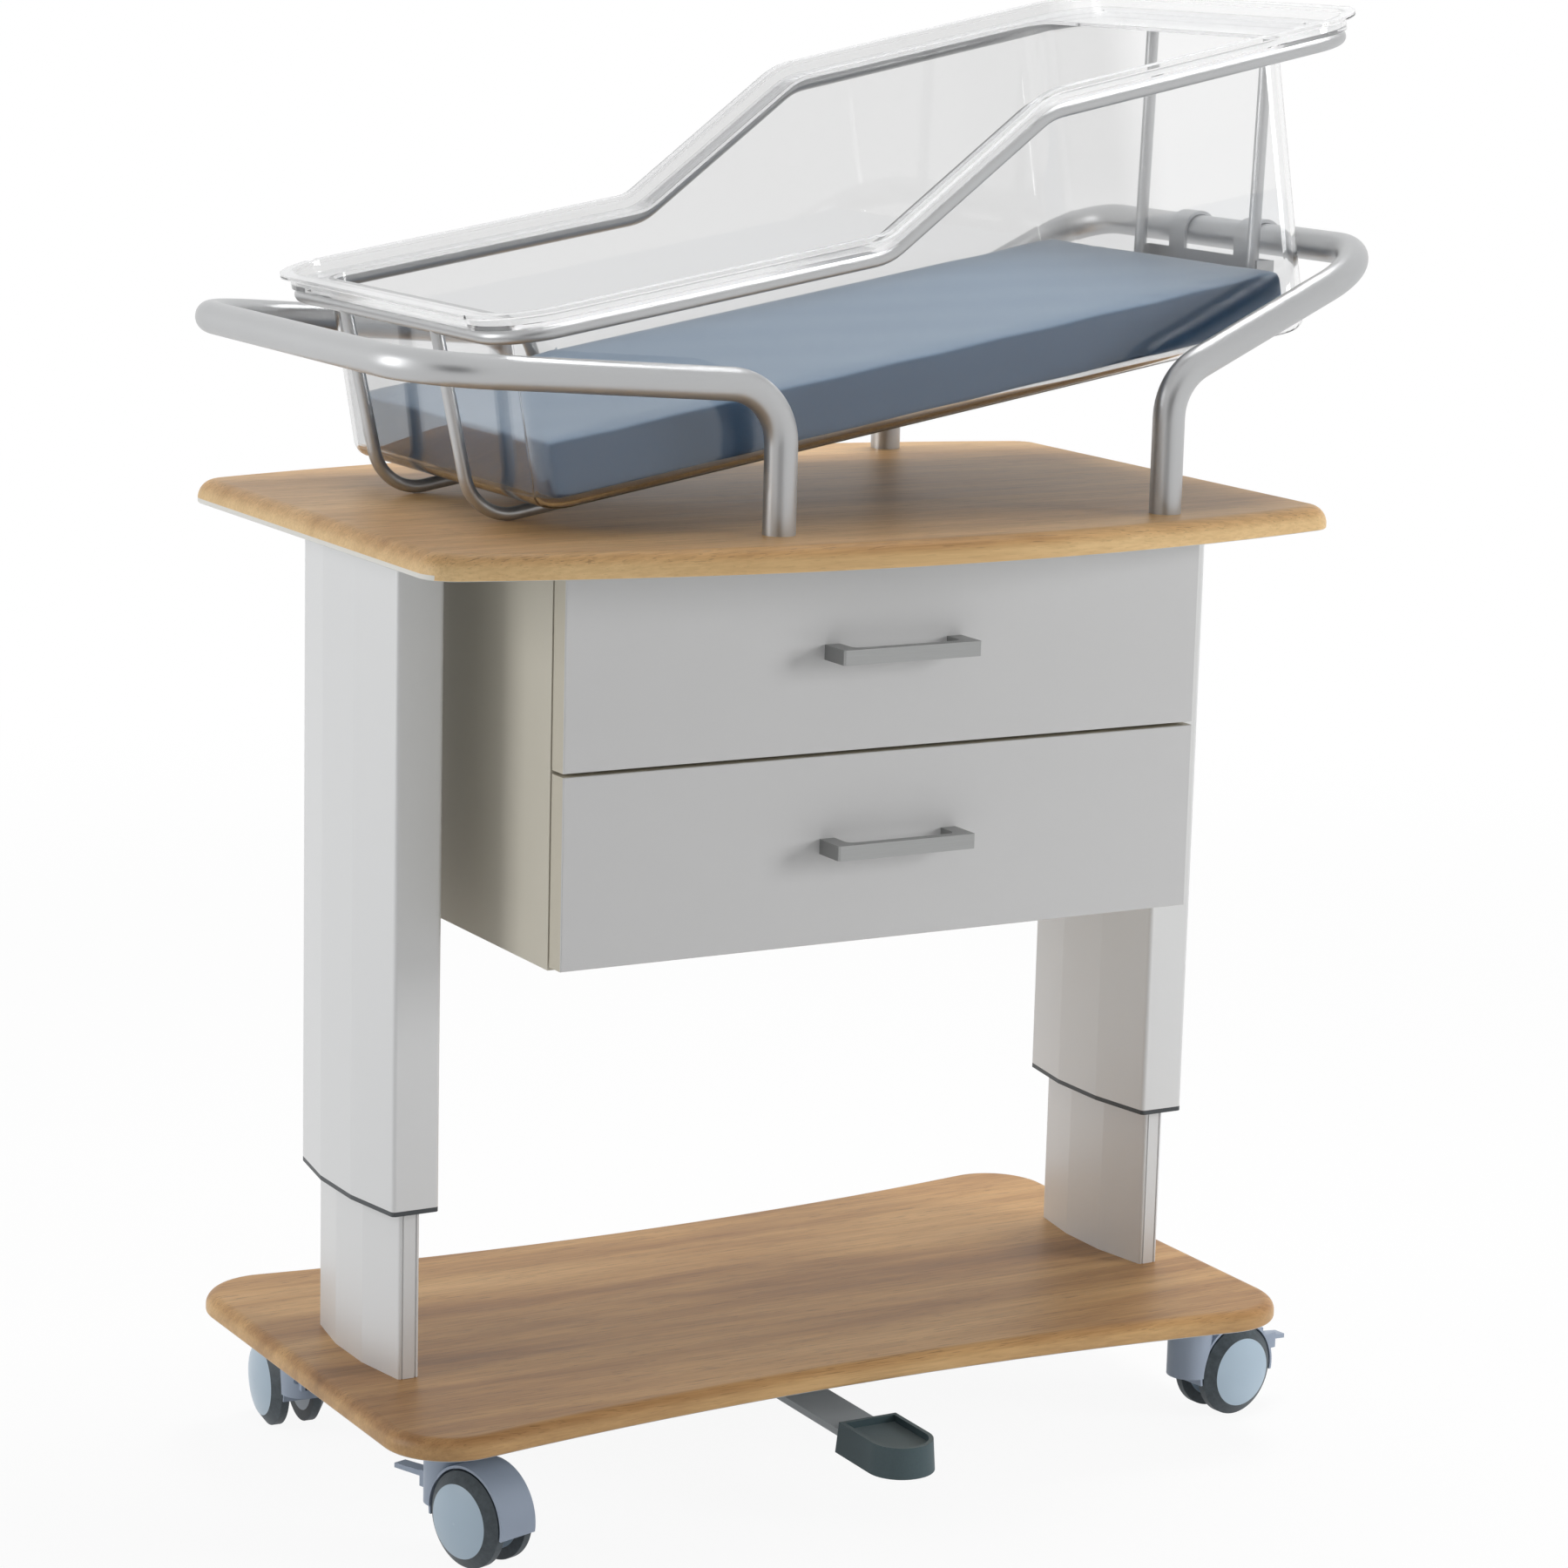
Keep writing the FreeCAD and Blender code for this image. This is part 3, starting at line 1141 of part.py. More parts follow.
pad_piece = body("pedal_pad")
for wall in ("0", "pedal_pad_wall"):
    half = "(pedal_pad_width / 2 - %s)" % wall
    curve = "(pedal_pad_width / 2 - pedal_pad_round)"
    back = "-pedal_pad_back - %s" % wall
    front = "%s - pedal_pad_front" % wall
    drawing = sketch(pad_piece, "XY", "pedal_pad_bottom + pedal_pad_height")
    outline(drawing, [("pedal_place - " + half, back),
                      ("pedal_place - " + half, "pedal_pad_round - pedal_pad_front"),
                      ("pedal_place - " + curve, front), ("pedal_place + " + curve, front),
                      ("pedal_place + " + half, "pedal_pad_round - pedal_pad_front"),
                      ("pedal_place + " + half, back)],
            {1: "pedal_pad_round - " + wall, 3: "pedal_pad_round - " + wall})
    if wall == "0":
        block = pad(pad_piece, drawing, "pedal_pad_height", backwards=True)
        bind(block, TaperAngle="pedal_pad_taper")
    else:
        pocket(pad_piece, drawing, "pedal_pad_hollow")
drawing = sketch(pad_piece, "YZ", "pedal_place")
rectangle(drawing, "-pedal_arm_length", "0", ARM_TOP + " - pedal_arm_thickness", ARM_TOP)
pocket(pad_piece, drawing, "pedal_arm_width", both_ways=True)
node(pad_piece, "pedal_pad")

# ---- checks and files ----
doc.recompute()
bad = [thing.Name for thing in doc.Objects if "Invalid" in thing.State or "Error" in thing.State]
if bad:
    raise RuntimeError("not built: " + ", ".join(bad))
os.makedirs("parts", exist_ok=True)
for thing in NODES:
    if thing.Shape.isNull() or not thing.Shape.isValid():
        raise RuntimeError("bad shape: " + thing.Label)
    thing.Shape.exportStep("parts/%s.step" % thing.Label)
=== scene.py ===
from math import cos, exp, radians, sin, tan

import bmesh
import bpy
from mathutils import Matrix, Vector


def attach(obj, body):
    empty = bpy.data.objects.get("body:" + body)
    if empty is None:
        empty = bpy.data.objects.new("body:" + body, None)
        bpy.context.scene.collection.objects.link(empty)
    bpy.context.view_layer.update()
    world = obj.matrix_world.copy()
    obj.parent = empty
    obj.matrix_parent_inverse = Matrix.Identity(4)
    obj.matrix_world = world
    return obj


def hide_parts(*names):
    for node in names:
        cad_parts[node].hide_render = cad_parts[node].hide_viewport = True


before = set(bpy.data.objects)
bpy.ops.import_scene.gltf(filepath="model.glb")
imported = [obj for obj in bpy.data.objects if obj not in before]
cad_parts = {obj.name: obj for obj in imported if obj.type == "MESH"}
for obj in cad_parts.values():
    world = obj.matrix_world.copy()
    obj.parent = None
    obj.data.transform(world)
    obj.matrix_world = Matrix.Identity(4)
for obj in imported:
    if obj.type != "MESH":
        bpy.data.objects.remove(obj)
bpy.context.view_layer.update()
scene = bpy.context.scene

# ---- the studio ----
# A pale floor that runs out into a white world, and three soft lamps: one far to the left
# for the broad column faces, a key lamp in front on the right, and one overhead.
# A dark card behind the camera is met only by reflections and gives the tubes their cores.
FLOOR_SIZE = 30
FLOOR_WHITE = 0.92
SHADOW_NEAR = 1.2
SHADOW_FAR = 3.5
WORLD_FILL = 0.3
CARD_SIZE = 3.6
CARD_PLACE = (-2.6, -4.5, 1.5)
MIDDLE = (0, 0, 0.7)
CAMERA_PLACE = (-1.84223, -3.24608, 1.33983)
CAMERA_TURN = radians(-29.86)
CAMERA_RISE = radians(11.453)
CAMERA_ROLL = radians(1.468)
CAMERA_LENS = 101.23
SENSOR_WIDTH = 36
scene.view_settings.view_transform = "Standard"


class Shade:
    """One output of a material's node, written in sums like a number."""

    def __init__(self, tree, socket=None):
        self.tree = tree
        self.socket = socket

    def node(self, kind, settings=None, out=0, **links):
        """A new node: its settings first, then the values or links of its sockets."""
        made = self.tree.nodes.new(kind)
        for name, setting in (settings or {}).items():
            if name == "stops":
                made.color_ramp.elements.remove(made.color_ramp.elements[1])
                for place, (position, colour) in enumerate(setting):
                    if place == 0:
                        stop = made.color_ramp.elements[0]
                    else:
                        stop = made.color_ramp.elements.new(position)
                    stop.position = position
                    stop.color = (*colour, 1)
            else:
                setattr(made, name, setting)
        for name, link in links.items():
            key = int(name[1:]) if name[0] == "i" and name[1:].isdigit() else name.replace("_", " ")
            if isinstance(link, Shade):
                self.tree.links.new(link.socket, made.inputs[key])
            else:
                made.inputs[key].default_value = link
        return Shade(self.tree, made.outputs[out] if len(made.outputs) else None)

    def sum(self, operation, *terms):
        """A maths node on these terms."""
        sockets = {"i%d" % number: term for number, term in enumerate(terms)}
        return self.node("ShaderNodeMath", {"operation": operation}, **sockets)

    def __add__(self, other):
        return self.sum("ADD", self, other)

    def __sub__(self, other):
        return self.sum("SUBTRACT", self, other)

    def __rsub__(self, other):
        return self.sum("SUBTRACT", other, self)

    def __mul__(self, other):
        return self.sum("MULTIPLY", self, other)

    def __lt__(self, other):
        return self.sum("LESS_THAN", self, other)

    def __gt__(self, other):
        return self.sum("GREATER_THAN", self, other)

    __radd__ = __add__
    __rmul__ = __mul__

    def between(self, low, high):
        """Nought below low, one above high, smooth between."""
        return self.node("ShaderNodeMapRange", {"interpolation_type": "SMOOTHSTEP"},
                         Value=self, From_Min=low, From_Max=high)

    def mix(self, low, high):
        """The colour low where this is nought and high where it is one."""
        full = [colour if isinstance(colour, Shade) else (*colour, 1) for colour in (low, high)]
        return self.node("ShaderNodeMix", {"data_type": "RGBA"}, out=2, i0=self, i6=full[0], i7=full[1])

    def place(self, stretch=(1, 1, 1), shift=(0, 0, 0)):
        """The point on the piece in metres, stretched and shifted."""
        spot = self.node("ShaderNodeTexCoord", out=3)
        return self.node("ShaderNodeMapping", Vector=spot, Scale=stretch, Location=shift)

    def part(self, axis):
        """The point's X, Y or Z in metres."""
        spot = self.node("ShaderNodeTexCoord", out=3)
        return self.node("ShaderNodeSeparateXYZ", out="XYZ".index(axis), Vector=spot)

    def facing(self, axis):
        """How far the surface looks along X, Y or Z."""
        normal = self.node("ShaderNodeNewGeometry", out=1)
        return self.node("ShaderNodeSeparateXYZ", out="XYZ".index(axis), Vector=normal)

    def noise(self, scale, detail=3, stretch=(1, 1, 1), rough=0.5, warp=0.0, shift=(0, 0, 0)):
        """Soft random value round a half."""
        return self.node("ShaderNodeTexNoise", Vector=self.place(stretch, shift), Scale=scale,
                         Detail=detail, Roughness=rough, Distortion=warp)

    def ramp(self, *stops):
        """A colour that this value picks from stops."""
        return self.node("ShaderNodeValToRGB", {"stops": stops}, Fac=self)

    def bump(self, strength, depth):
        """A dented normal with this value as the height."""
        return self.node("ShaderNodeBump", Height=self, Strength=strength, Distance=depth)


def finish(name):
    """A new material, and a Shade to make its nodes with."""
    made = bpy.data.materials.new(name)
    made.use_nodes = True
    made.node_tree.nodes.clear()
    return made, Shade(made.node_tree)


def surface(shade, **sockets):
    """The closing shader: plain numbers stay on its sockets, shades are linked."""
    sockets = {name: (*link, 1) if isinstance(link, tuple) else link for name, link in sockets.items()}
    shader = shade.node("ShaderNodeBsdfPrincipled", **sockets)
    shade.node("ShaderNodeOutputMaterial", Surface=shader)


def paint(material, *names):
    """Give a material to CAD nodes."""
    for name in names:
        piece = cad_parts[name]
        piece.data.materials.clear()
        piece.data.materials.append(material)


def tone(red, green, blue):
    """A colour written as it looks, turned into the linear light the shader wants."""
    return tuple((part / 255 / 12.92) if part < 11 else ((part / 255 + 0.055) / 1.055) ** 2.4
                 for part in (red, green, blue))


def sheet(name, size, material):
    """A flat square of the studio, which is no part of the bassinet."""
    square = bmesh.new()
    bmesh.ops.create_grid(square, x_segments=1, y_segments=1, size=size / 2)
    data = bpy.data.meshes.new(name)
    square.to_mesh(data)
    square.free()
    data.materials.append(material)
    made = bpy.data.objects.new(name, data)
    scene.collection.objects.link(made)
    return made


def seen(shade):
    """One for rays that end in the picture, also by way of metal or clear plastic."""
    camera_ray = shade.node("ShaderNodeLightPath", out="Is Camera Ray")
    lights = camera_ray.socket.node.outputs
    total = camera_ray + Shade(shade.tree, lights["Is Glossy Ray"]) \
        + Shade(shade.tree, lights["Is Transmission Ray"])
    return total.between(0, 1)


floor_paint, shade = finish("floor paint")
away = shade.node("ShaderNodeVectorMath", {"operation": "LENGTH"}, out=1,
                  i0=shade.place()).between(SHADOW_NEAR, SHADOW_FAR)
matt = shade.node("ShaderNodeBsdfDiffuse", Color=(0.93, 0.93, 0.93, 1))
white = shade.node("ShaderNodeEmission", Color=(1, 1, 1, 1), Strength=1)
bright = seen(shade) * (away * (1 - FLOOR_WHITE) + FLOOR_WHITE)
mixed = shade.node("ShaderNodeMixShader", i0=bright, i1=matt, i2=white)
shade.node("ShaderNodeOutputMaterial", Surface=mixed)
floor = sheet("floor", FLOOR_SIZE, floor_paint)

world = bpy.data.worlds.new("studio")
world.use_nodes = True
world.node_tree.nodes.clear()
shade = Shade(world.node_tree)
glow = shade.node("ShaderNodeBackground", Color=(1, 1, 1, 1),
                  Strength=seen(shade) * (1 - WORLD_FILL) + WORLD_FILL)
shade.node("ShaderNodeOutputWorld", Surface=glow)
scene.world = world


def lamp(name, place, aim, width, height, watts, mirrored=True):
    """A soft rectangular lamp that looks from a place to a point, seen in reflections or not."""
    light = bpy.data.lights.new(name, "AREA")
    light.shape = "RECTANGLE"
    light.size = width
    light.size_y = height
    light.energy = watts
    stand = bpy.data.objects.new(name, light)
    stand.location = place
    stand.rotation_euler = (Vector(aim) - Vector(place)).to_track_quat("-Z", "Y").to_euler()
    stand.visible_glossy = mirrored
    scene.collection.objects.link(stand)


lamp("left lamp", (-3.6, 0.9, 1.6), MIDDLE, 1.6, 2.4, 46)
lamp("key lamp", (3.3, -2.9, 1.5), MIDDLE, 1.3, 1.6, 80, mirrored=False)
lamp("top lamp", (0.9, 0.6, 3.4), MIDDLE, 1.4, 1.4, 62, mirrored=False)

card_paint, shade = finish("card paint")
surface(shade, Base_Color=shade.noise(3, 2).mix(tone(14, 14, 14), tone(20, 20, 20)), Roughness=0.9)
card = sheet("reflection card", CARD_SIZE, card_paint)
card.location = CARD_PLACE
card.rotation_euler = (Vector(MIDDLE) - card.location).to_track_quat("Z", "Y").to_euler()
card.visible_camera = False
card.visible_transmission = False
card.visible_diffuse = False
card.visible_shadow = False

back = Vector((sin(CAMERA_TURN) * cos(CAMERA_RISE), -cos(CAMERA_TURN) * cos(CAMERA_RISE),
               sin(CAMERA_RISE)))
level = Vector((0, 0, 1)).cross(back).normalized()
upright = back.cross(level)
right = level * cos(CAMERA_ROLL) + upright * sin(CAMERA_ROLL)
top = upright * cos(CAMERA_ROLL) - level * sin(CAMERA_ROLL)
camera = bpy.data.objects.new("camera", bpy.data.cameras.new("camera"))
camera.data.lens = CAMERA_LENS
camera.data.sensor_width = SENSOR_WIDTH
turned = Matrix((right, top, back)).transposed().to_4x4()
camera.matrix_world = Matrix.Translation(CAMERA_PLACE) @ turned
scene.collection.objects.link(camera)
scene.camera = camera

# ---- base board ----
# Bullnosed chipboard under a walnut laminate, postformed round its edges; the grain runs
# along the board, and the underside has a grey backing sheet. Screwed to the chassis.


def wood(name, shift, streak, lift, edge_paling_and_highlight, seal_highlight=None):
    """Walnut laminate: broad streaks, fine fibre lines and short pores, all along X.

    Streak is the share of the broad figure, lift makes the board paler, and
    edge_paling_and_highlight pales its sideways faces, partly the print thinned round the edge
    and partly painted highlight. seal_highlight gives the heights and the end X of a pale line
    painted on the lower edge, partly a sealed edge and partly painted highlight.
    """
    made, shade = finish(name)
    broad = shade.noise(1.0, 4, (1.1, 9, 9), 0.55, 0.9, shift)
    band = shade.noise(1.0, 6, (2.2, 34, 34), 0.6, 0.5, shift)
    fibre = shade.noise(1.0, 3, (14, 420, 420), 0.6, 0.0, shift)
    pore = shade.noise(1.0, 1, (46, 900, 900), 0.5, 0.0, shift)
    grain = broad * streak + band * (1 - streak) + lift
    colour = grain.ramp((0.30, tone(134, 96, 60)), (0.42, tone(174, 130, 84)),
                        (0.52, tone(202, 158, 106)), (0.66, tone(224, 182, 128)),
                        (0.8, tone(234, 196, 144)))
    lines = fibre.between(0.35, 0.65)
    colour = shade.node("ShaderNodeMix", {"data_type": "RGBA", "blend_type": "MULTIPLY"}, out=2,
                        i0=0.5, i6=colour, i7=lines.mix(tone(214, 206, 196), (1, 1, 1)))
    # sideways faces are screened paler: partly the print thinned where the laminate is drawn round the
    # edge, partly painted highlight
    flat = shade.facing("Z").between(0.25, 0.8)
    colour = shade.node("ShaderNodeMix", {"data_type": "RGBA", "blend_type": "SCREEN"}, out=2,
                        i0=(1 - flat) * edge_paling_and_highlight, i6=colour, i7=(*tone(222, 186, 134), 1))
    dark = pore.between(0.62, 0.7)
    colour = (dark * (flat * 0.3 + 0.12)).mix(colour, tone(92, 64, 42))
    # a pale line painted on the lower edge, only up to the given X at the foot end: partly a sealed
    # edge, partly painted highlight where that end catches the light
    if seal_highlight:
        low, high, end = seal_highlight
        seal_highlight_strip = (shade.part("Z") < high) * (shade.part("Z") > low) * (shade.part("X") < end)
        colour = seal_highlight_strip.mix(colour, tone(228, 226, 220))
    backing = shade.facing("Z") < -0.7
    colour = backing.mix(colour, tone(196, 197, 196))
    relief = (fibre * 0.5 - dark).bump(0.18, 0.0004)
    surface(shade, Base_Color=colour, Roughness=fibre * 0.12 + 0.36, Normal=relief,
            Specular_IOR_Level=0.3)
    return made


paint(wood("walnut laminate, base", shift=(0.3, 0.2, 0.0), streak=0.62, lift=-0.02, edge_paling_and_highlight=0.22),
      "base_board")

# ---- chassis ----
# Pressed steel plates and a folded beam under the base board, powder coated grey, and the
# zinc plated fittings: springs, runners, pins, bolts and the columns' end plates.
chassis_coat, shade = finish("chassis powder coat")
grit = shade.noise(900, 2)
surface(shade, Base_Color=shade.noise(6, 3).mix(tone(196, 200, 203), tone(204, 208, 211)),
        Roughness=grit * 0.15 + 0.5, Normal=grit.bump(0.12, 0.0002))
paint(chassis_coat, "chassis_beam", "chassis_cross_plates", "pedal_bracket", "pedal_arm")

zinc, shade = finish("zinc plate")
cloud = shade.noise(38, 4, rough=0.65)
surface(shade, Base_Color=cloud.mix(tone(172, 176, 180), tone(200, 203, 206)),
        Metallic=1.0, Roughness=cloud * 0.2 + 0.25)
paint(zinc, "castor_swivel_plates", "pedal_pin", "rail_bolts", "spring_rod_foot", "spring_rod_head",
      "spring_tube_foot", "spring_tube_head", "column_foot_plate_foot", "column_foot_plate_head",
      "column_head_plate_foot", "column_head_plate_head", "cabinet_runner_lower", "cabinet_runner_upper",
      "drawer_runner_lower", "drawer_runner_upper")

# ---- castors ----
# Twin wheels of grey-blue nylon with dark rubber tyres under a moulded hood, which carries
# the brake lever. The hood turns on a steel stem under its swivel plate.
CASTORS = ("foot_front", "foot_back", "head_front", "head_back")
hood_plastic, shade = finish("castor hood plastic")
fleck = shade.noise(700, 3)
surface(shade, Base_Color=shade.noise(14, 2).mix(tone(152, 164, 182), tone(162, 174, 191)),
        Roughness=fleck * 0.12 + 0.38, Normal=fleck.bump(0.08, 0.0002))
disc_plastic, shade = finish("castor wheel plastic")
surface(shade, Base_Color=shade.noise(20, 2).mix(tone(172, 192, 208), tone(180, 199, 214)),
        Roughness=shade.noise(800, 2) * 0.1 + 0.28, Coat_Weight=0.1)
tyre_rubber, shade = finish("castor tyre rubber")
scuff = shade.noise(160, 4, rough=0.7)
surface(shade, Base_Color=scuff.ramp((0.35, tone(58, 66, 71)), (0.7, tone(78, 87, 93))),
        Roughness=scuff * 0.25 + 0.45, Normal=scuff.bump(0.1, 0.0003))
for place in CASTORS:
    paint(hood_plastic, "castor_hood_" + place, "castor_brake_" + place)
    paint(disc_plastic, "castor_wheel_" + place)
    paint(tyre_rubber, "castor_tyres_" + place)

# ---- foot pedal ----
# A steel arm on a pin under the board, with a dished pad of moulded rubber pushed over its
# end. The pad's rim stands up round a hollow tread, and its upward faces are painted paler as painted
# light against the board's shadow.
pad_rubber, shade = finish("pedal pad rubber")
grain = shade.noise(520, 4, rough=0.65)
# the pad's upward faces are painted paler than the rubber: painted light against the shadow of the base
# board
painted_light_top = shade.facing("Z").between(0.5, 0.9)
tread = grain.mix(tone(64, 81, 85), tone(78, 95, 100))
surface(shade, Base_Color=painted_light_top.mix(tread, tone(112, 124, 127)),
        Roughness=grain * 0.2 + 0.5, Normal=grain.bump(0.25, 0.0004))
paint(pad_rubber, "pedal_pad")

# ---- columns ----
# Extruded aluminium tubes, three flats to each broad face, powder coated light grey;
# the outer tube rides on a dark plastic collar.
column_coat, shade = finish("column powder coat")
peel = shade.noise(420, 2)
surface(shade, Base_Color=shade.noise(3, 2, (1, 1, 0.3)).mix(tone(219, 220, 221), tone(226, 227, 227)),
        Roughness=peel * 0.1 + 0.34, Metallic=0.15, Normal=peel.bump(0.06, 0.0002))
paint(column_coat, "outer_column_foot", "outer_column_head", "inner_column_foot", "inner_column_head")
collar_plastic, shade = finish("collar plastic")
fleck = shade.noise(800, 2)
surface(shade, Base_Color=fleck.mix(tone(62, 66, 69), tone(74, 78, 81)), Roughness=fleck * 0.1 + 0.45)
paint(collar_plastic, "column_collar_foot", "column_collar_head")

# ---- table board ----
# The same walnut laminate over a thicker rounded edge; a pale line along the lower edge is
# painted only at the foot end, partly the sealed edge and partly painted highlight where that end
# faces the light. Screwed to the head plates of the columns.
SEAL_HIGHLIGHT_LOW = 0.8
SEAL_HIGHLIGHT_TOP = 0.8225
SEAL_HIGHLIGHT_END = -0.425
paint(wood("walnut laminate, table", shift=(1.7, 0.9, 0.4), streak=0.7, lift=0.1, edge_paling_and_highlight=0.46,
           seal_highlight=(SEAL_HIGHLIGHT_LOW, SEAL_HIGHLIGHT_TOP, SEAL_HIGHLIGHT_END)), "table_board")

# ---- cabinet ----
# An open box of melamine-faced chipboard, cream, glued at its corners and hung under the
# table board.
cream, shade = finish("cream melamine")
pebble = shade.noise(650, 3)
surface(shade, Base_Color=shade.noise(5, 3).mix(tone(200, 195, 180), tone(206, 201, 187)),
        Roughness=pebble * 0.12 + 0.42, Normal=pebble.bump(0.05, 0.0002))
paint(cream, "cabinet_carcass")

# ---- drawers ----
# Grey laminated fronts with beige edging, screwed to white board boxes that slide on steel
# runners; the bow handles are satin aluminium, screwed from behind.
EDGING_FROM = -0.2098
front_laminate, shade = finish("drawer front laminate")
pebble = shade.noise(650, 3)
inner_face = shade.part("Y") > EDGING_FROM
surface(shade, Base_Color=inner_face.mix(tone(206, 206, 206), tone(200, 194, 178)),
        Roughness=pebble * 0.1 + 0.38, Normal=pebble.bump(0.04, 0.0002))
box_board, shade = finish("drawer box board")
pebble = shade.noise(300, 3)
surface(shade, Base_Color=pebble.mix(tone(222, 221, 216), tone(232, 231, 227)),
        Roughness=pebble * 0.1 + 0.5)
satin, shade = finish("satin aluminium")
brush = shade.noise(1.0, 3, (30, 2600, 2600), 0.6)
surface(shade, Base_Color=brush.mix(tone(152, 153, 152), tone(172, 173, 173)), Metallic=0.85,
        Roughness=brush * 0.12 + 0.34)
for level_name in ("lower", "upper"):
    paint(front_laminate, "drawer_front_" + level_name)
    paint(box_board, "drawer_box_" + level_name)
    paint(satin, "handle_" + level_name)

# ---- rails and cradle ----
# Bent steel tube and bar, welded and powder coated silver. The rails are bolted to the table
# board, and the cradle's rim and rods carry the tub.
silver_coat, shade = finish("silver powder coat")
peel = shade.noise(500, 2)
surface(shade, Base_Color=shade.noise(9, 2).mix(tone(184, 185, 186), tone(192, 193, 194)),
        Metallic=0.75, Roughness=peel * 0.08 + 0.34, Normal=peel.bump(0.05, 0.0002))
paint(silver_coat, "foot_rail", "head_rail", "cradle_rim", "cradle_rods", "cradle_hook_plate")

# ---- tub ----
# Clear cast acrylic, vacuum formed, with a turned-up flange that rests on the rim tube. The back
# wall is tinted greyer as painted shade, and the flange's top carries a pale painted reflection.
TUB_TILT = radians(9.8)
FLANGE_LOW = 0.95
FLANGE_REFLECTION_SHARE = 0.35
HEAD_WALL = 0.43
HEAD_WALL_FADE = 0.03
BACK_SHADE_FADE = 0.1
acrylic, shade = finish("clear acrylic")
haze = shade.noise(7, 3)
before_head = 1 - shade.part("X").between(HEAD_WALL - HEAD_WALL_FADE, HEAD_WALL)
# the back wall is tinted greyer than the rest of the acrylic: painted shade
back_wall_painted_shade = shade.part("Y").between(0, BACK_SHADE_FADE) * before_head
clear = shade.node("ShaderNodeBsdfPrincipled", Transmission_Weight=1.0, IOR=1.49,
                   Base_Color=back_wall_painted_shade.mix((0.95, 0.95, 0.95), (0.77, 0.77, 0.77)),
                   Roughness=haze * 0.03 + 0.01)
# the flange's upward faces are mixed with a pale glossy shader: a painted reflection on the top
flange_painted_reflection = shade.node("ShaderNodeBsdfPrincipled", Base_Color=(0.82, 0.83, 0.84, 1),
                   Roughness=haze * 0.1 + 0.2)
above_floor = (shade.part("Z") - shade.part("X") * tan(TUB_TILT)) > FLANGE_LOW
flange = shade.facing("Z").between(0.6, 0.9) * above_floor
mixed = shade.node("ShaderNodeMixShader", i0=flange * FLANGE_REFLECTION_SHARE, i1=clear, i2=flange_painted_reflection)
shade.node("ShaderNodeOutputMaterial", Surface=mixed)
paint(acrylic, "tub")

# ---- mattress ----
# A foam block in a wipe-clean coated cover, steel blue. The cover's ends are folded like an
# envelope at the head corners and welded; it lies loose in the tub.
MATTRESS_LENGTH = 0.716
MATTRESS_WIDTH = 0.371
MATTRESS_THICKNESS = 0.052
MATTRESS_FOOT = -0.0124
MATTRESS_UNDER = 0.0264
TUB_PLACE = (-0.28256, 0, 0.83886)
TUB_FRAME = Matrix.Translation(TUB_PLACE) @ Matrix.Rotation(-TUB_TILT, 4, "Y")
SLACK = 0.0025
CORNER_ROUND = 0.007
EDGE_ROUND = 0.0035
VOXEL = 0.0055
FILLING_PRESSURE = 4
FILLING_STRETCH = 40
FILLING_SQUEEZE = 20
FILLING_STEPS = 20
foam = bmesh.new()
bmesh.ops.create_cube(foam, size=1)
bmesh.ops.scale(foam, vec=(MATTRESS_LENGTH - 2 * SLACK, MATTRESS_WIDTH - 2 * SLACK,
                           MATTRESS_THICKNESS - 2 * SLACK), verts=foam.verts)
posts = [edge for edge in foam.edges
         if abs(edge.verts[0].co.z - edge.verts[1].co.z) > MATTRESS_THICKNESS / 2]
bmesh.ops.bevel(foam, geom=posts, offset=CORNER_ROUND, segments=4, profile=0.5,
                affect="EDGES", material=-1)
rims = [edge for edge in foam.edges
        if edge.verts[0].co.z * edge.verts[1].co.z > 0 and edge.calc_face_angle() > 1]
bmesh.ops.bevel(foam, geom=rims, offset=EDGE_ROUND, segments=3, profile=0.5,
                affect="EDGES", material=-1)
mattress_data = bpy.data.meshes.new("mattress_cover")
foam.to_mesh(mattress_data)
foam.free()
mattress = bpy.data.objects.new("mattress_cover", mattress_data)
scene.collection.objects.link(mattress)
bpy.context.view_layer.objects.active = mattress
voxels = mattress.modifiers.new("voxels", "REMESH")
voxels.mode = "VOXEL"
voxels.voxel_size = VOXEL
with bpy.context.temp_override(object=mattress, active_object=mattress):
    bpy.ops.object.modifier_apply(modifier="voxels")
empty = [vertex.co.copy() for vertex in mattress.data.vertices]
cloth = mattress.modifiers.new("filling", "CLOTH")
cloth.settings.use_pressure = True
cloth.settings.uniform_pressure_force = FILLING_PRESSURE
cloth.settings.effector_weights.gravity = 0
cloth.settings.tension_stiffness = FILLING_STRETCH
cloth.settings.compression_stiffness = FILLING_SQUEEZE
for step in range(FILLING_STEPS):
    scene.frame_set(step + 1)
with bpy.context.temp_override(object=mattress, active_object=mattress):
    bpy.ops.object.modifier_apply(modifier="filling")
scene.frame_set(1)
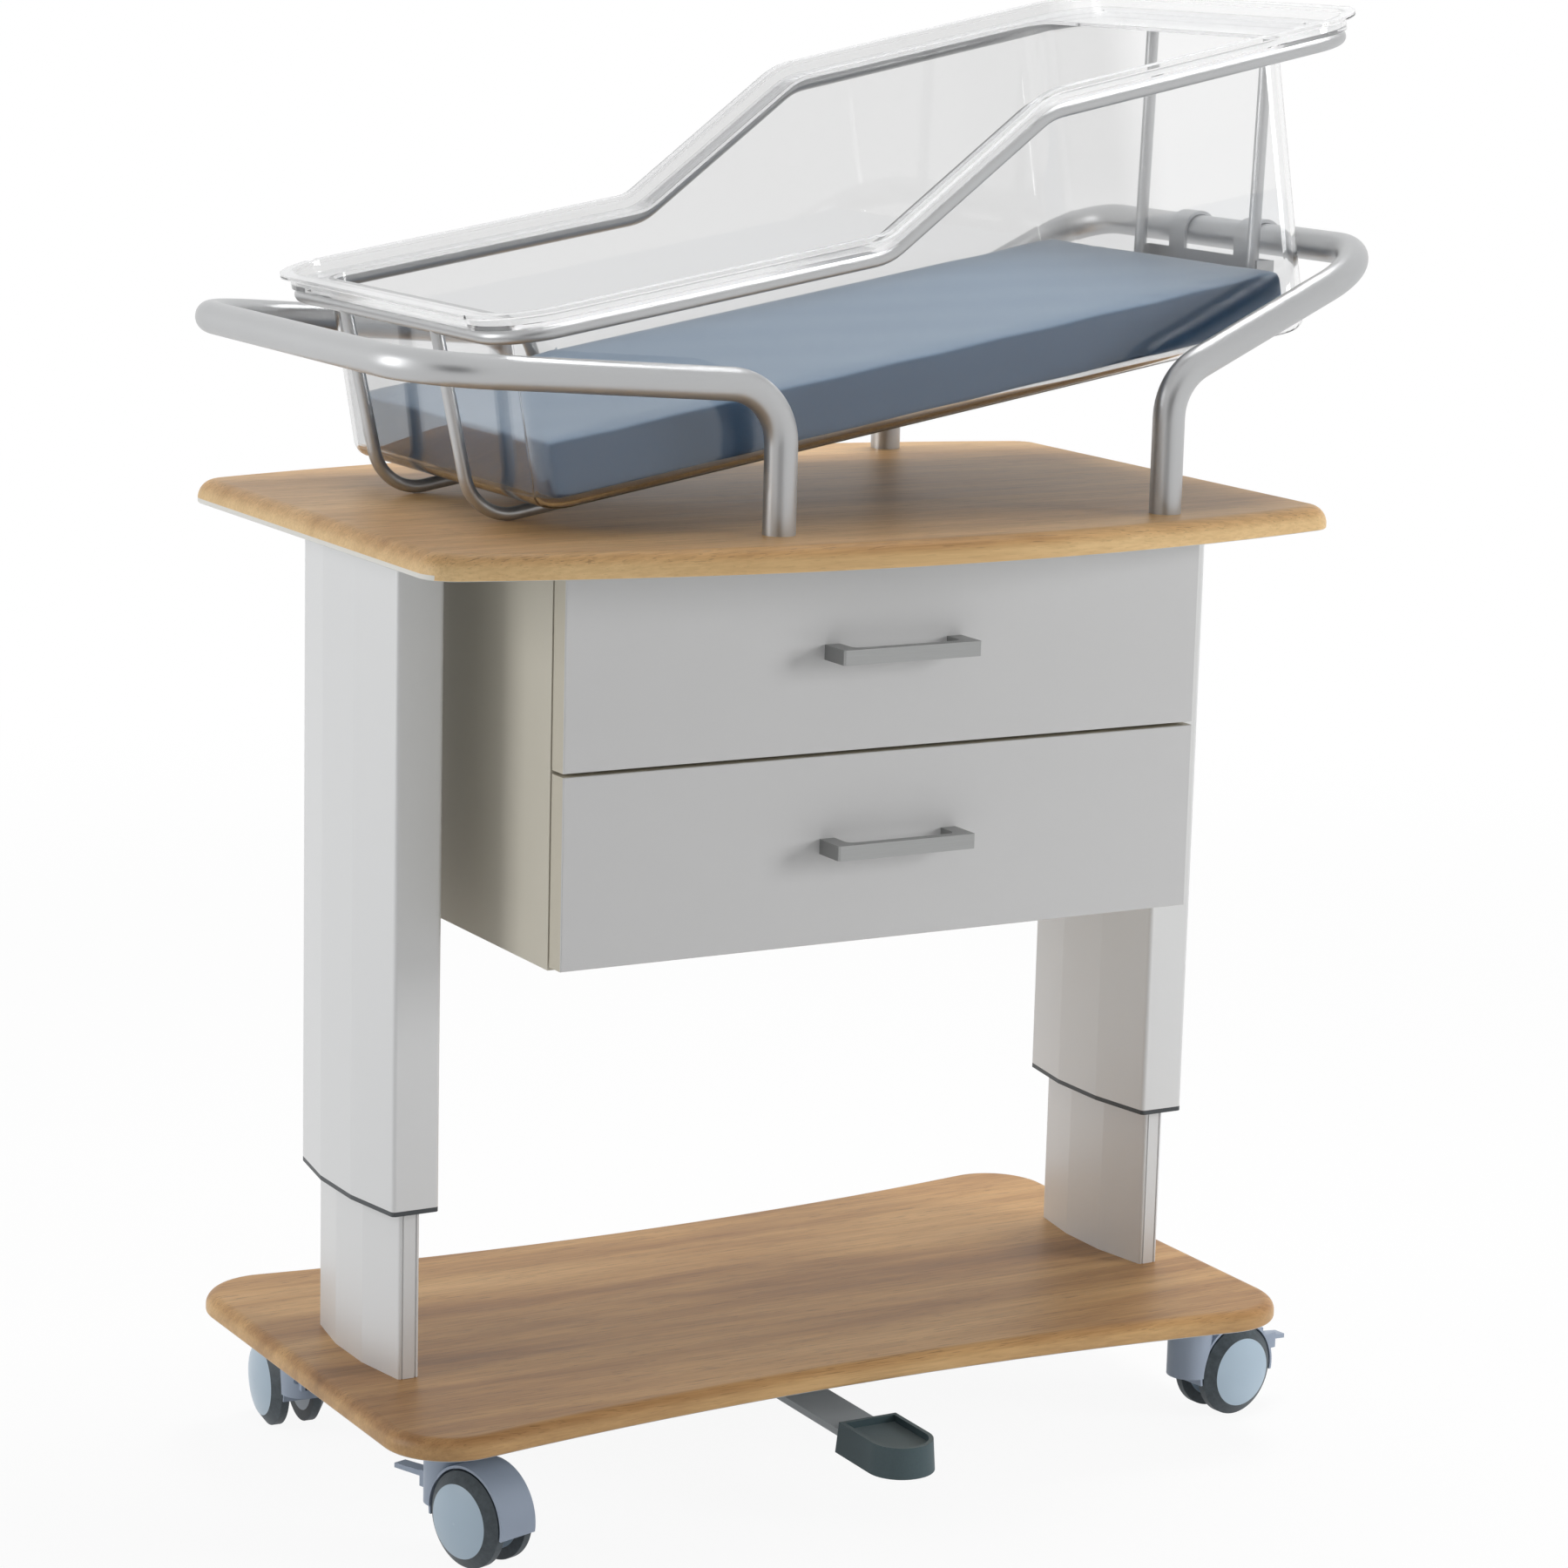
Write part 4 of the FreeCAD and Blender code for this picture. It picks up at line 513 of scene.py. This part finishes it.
for vertex, start in zip(mattress.data.vertices, empty):
    move = vertex.co - start
    if move.length > SLACK:
        move *= SLACK / move.length
    vertex.co = start + move

# the envelope folds: above a slanting line at the head corners the cover sinks behind a flap
FOLD_LENGTH = 0.15
FOLD_DEPTH = 0.0045
FOLD_FADE = 0.014
CREASE = 0.002
SIDE_DEPTH = 0.012
SIDE_FADE = 0.006
END_FADE = 0.02
RIPPLE_HEIGHT = 0.0004


def rise(distance, width):
    """Nought before a line, one beyond the width behind it."""
    return min(max(distance / width, 0), 1)


half = Vector((MATTRESS_LENGTH, MATTRESS_WIDTH, MATTRESS_THICKNESS)) / 2
fold_line = Vector((FOLD_LENGTH, MATTRESS_THICKNESS)).normalized()
for vertex in mattress.data.vertices:
    spot = vertex.co
    side = rise(abs(spot.y) - half.y + SIDE_DEPTH, SIDE_FADE)
    end = rise(half.x - spot.x, END_FADE)
    above = (spot.z + half.z) * fold_line.x - (spot.x - half.x + FOLD_LENGTH) * fold_line.y
    sink = rise(above, CREASE) * exp(-max(above, 0) / FOLD_FADE) * FOLD_DEPTH * side * end
    ripple = sin(spot.x * 61 + spot.z * 23) * sin(spot.y * 47 + 1.3)
    spot.y -= sink if spot.y > 0 else -sink
    spot.z += ripple * RIPPLE_HEIGHT
laid = Matrix.Translation((MATTRESS_FOOT + half.x, 0, MATTRESS_UNDER + half.z))
mattress.data.transform(TUB_FRAME @ laid)
for face in mattress.data.polygons:
    face.use_smooth = True
smoother = mattress.modifiers.new("smoother", "SUBSURF")
smoother.levels = 1
smoother.render_levels = 1
cover, shade = finish("mattress cover")
knit = shade.noise(1400, 2)
drift = shade.noise(5, 3)
# the sides are painted a much darker, deeper blue than the top: painted shade; the top keeps the cover's
# steel blue
unshaded_top_mask = shade.facing("Z").between(0.3, 0.9)
top_blue = drift.mix(tone(78, 105, 130), tone(88, 114, 138))
painted_shade_side_blue = drift.mix(tone(12, 60, 94), tone(20, 69, 103))
surface(shade, Base_Color=unshaded_top_mask.mix(painted_shade_side_blue, top_blue),
        Roughness=knit * 0.1 + 0.42, Normal=knit.bump(0.12, 0.0003), Sheen_Weight=0.2)
mattress.data.materials.append(cover)
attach(mattress, "mattress")
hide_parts("mattress")
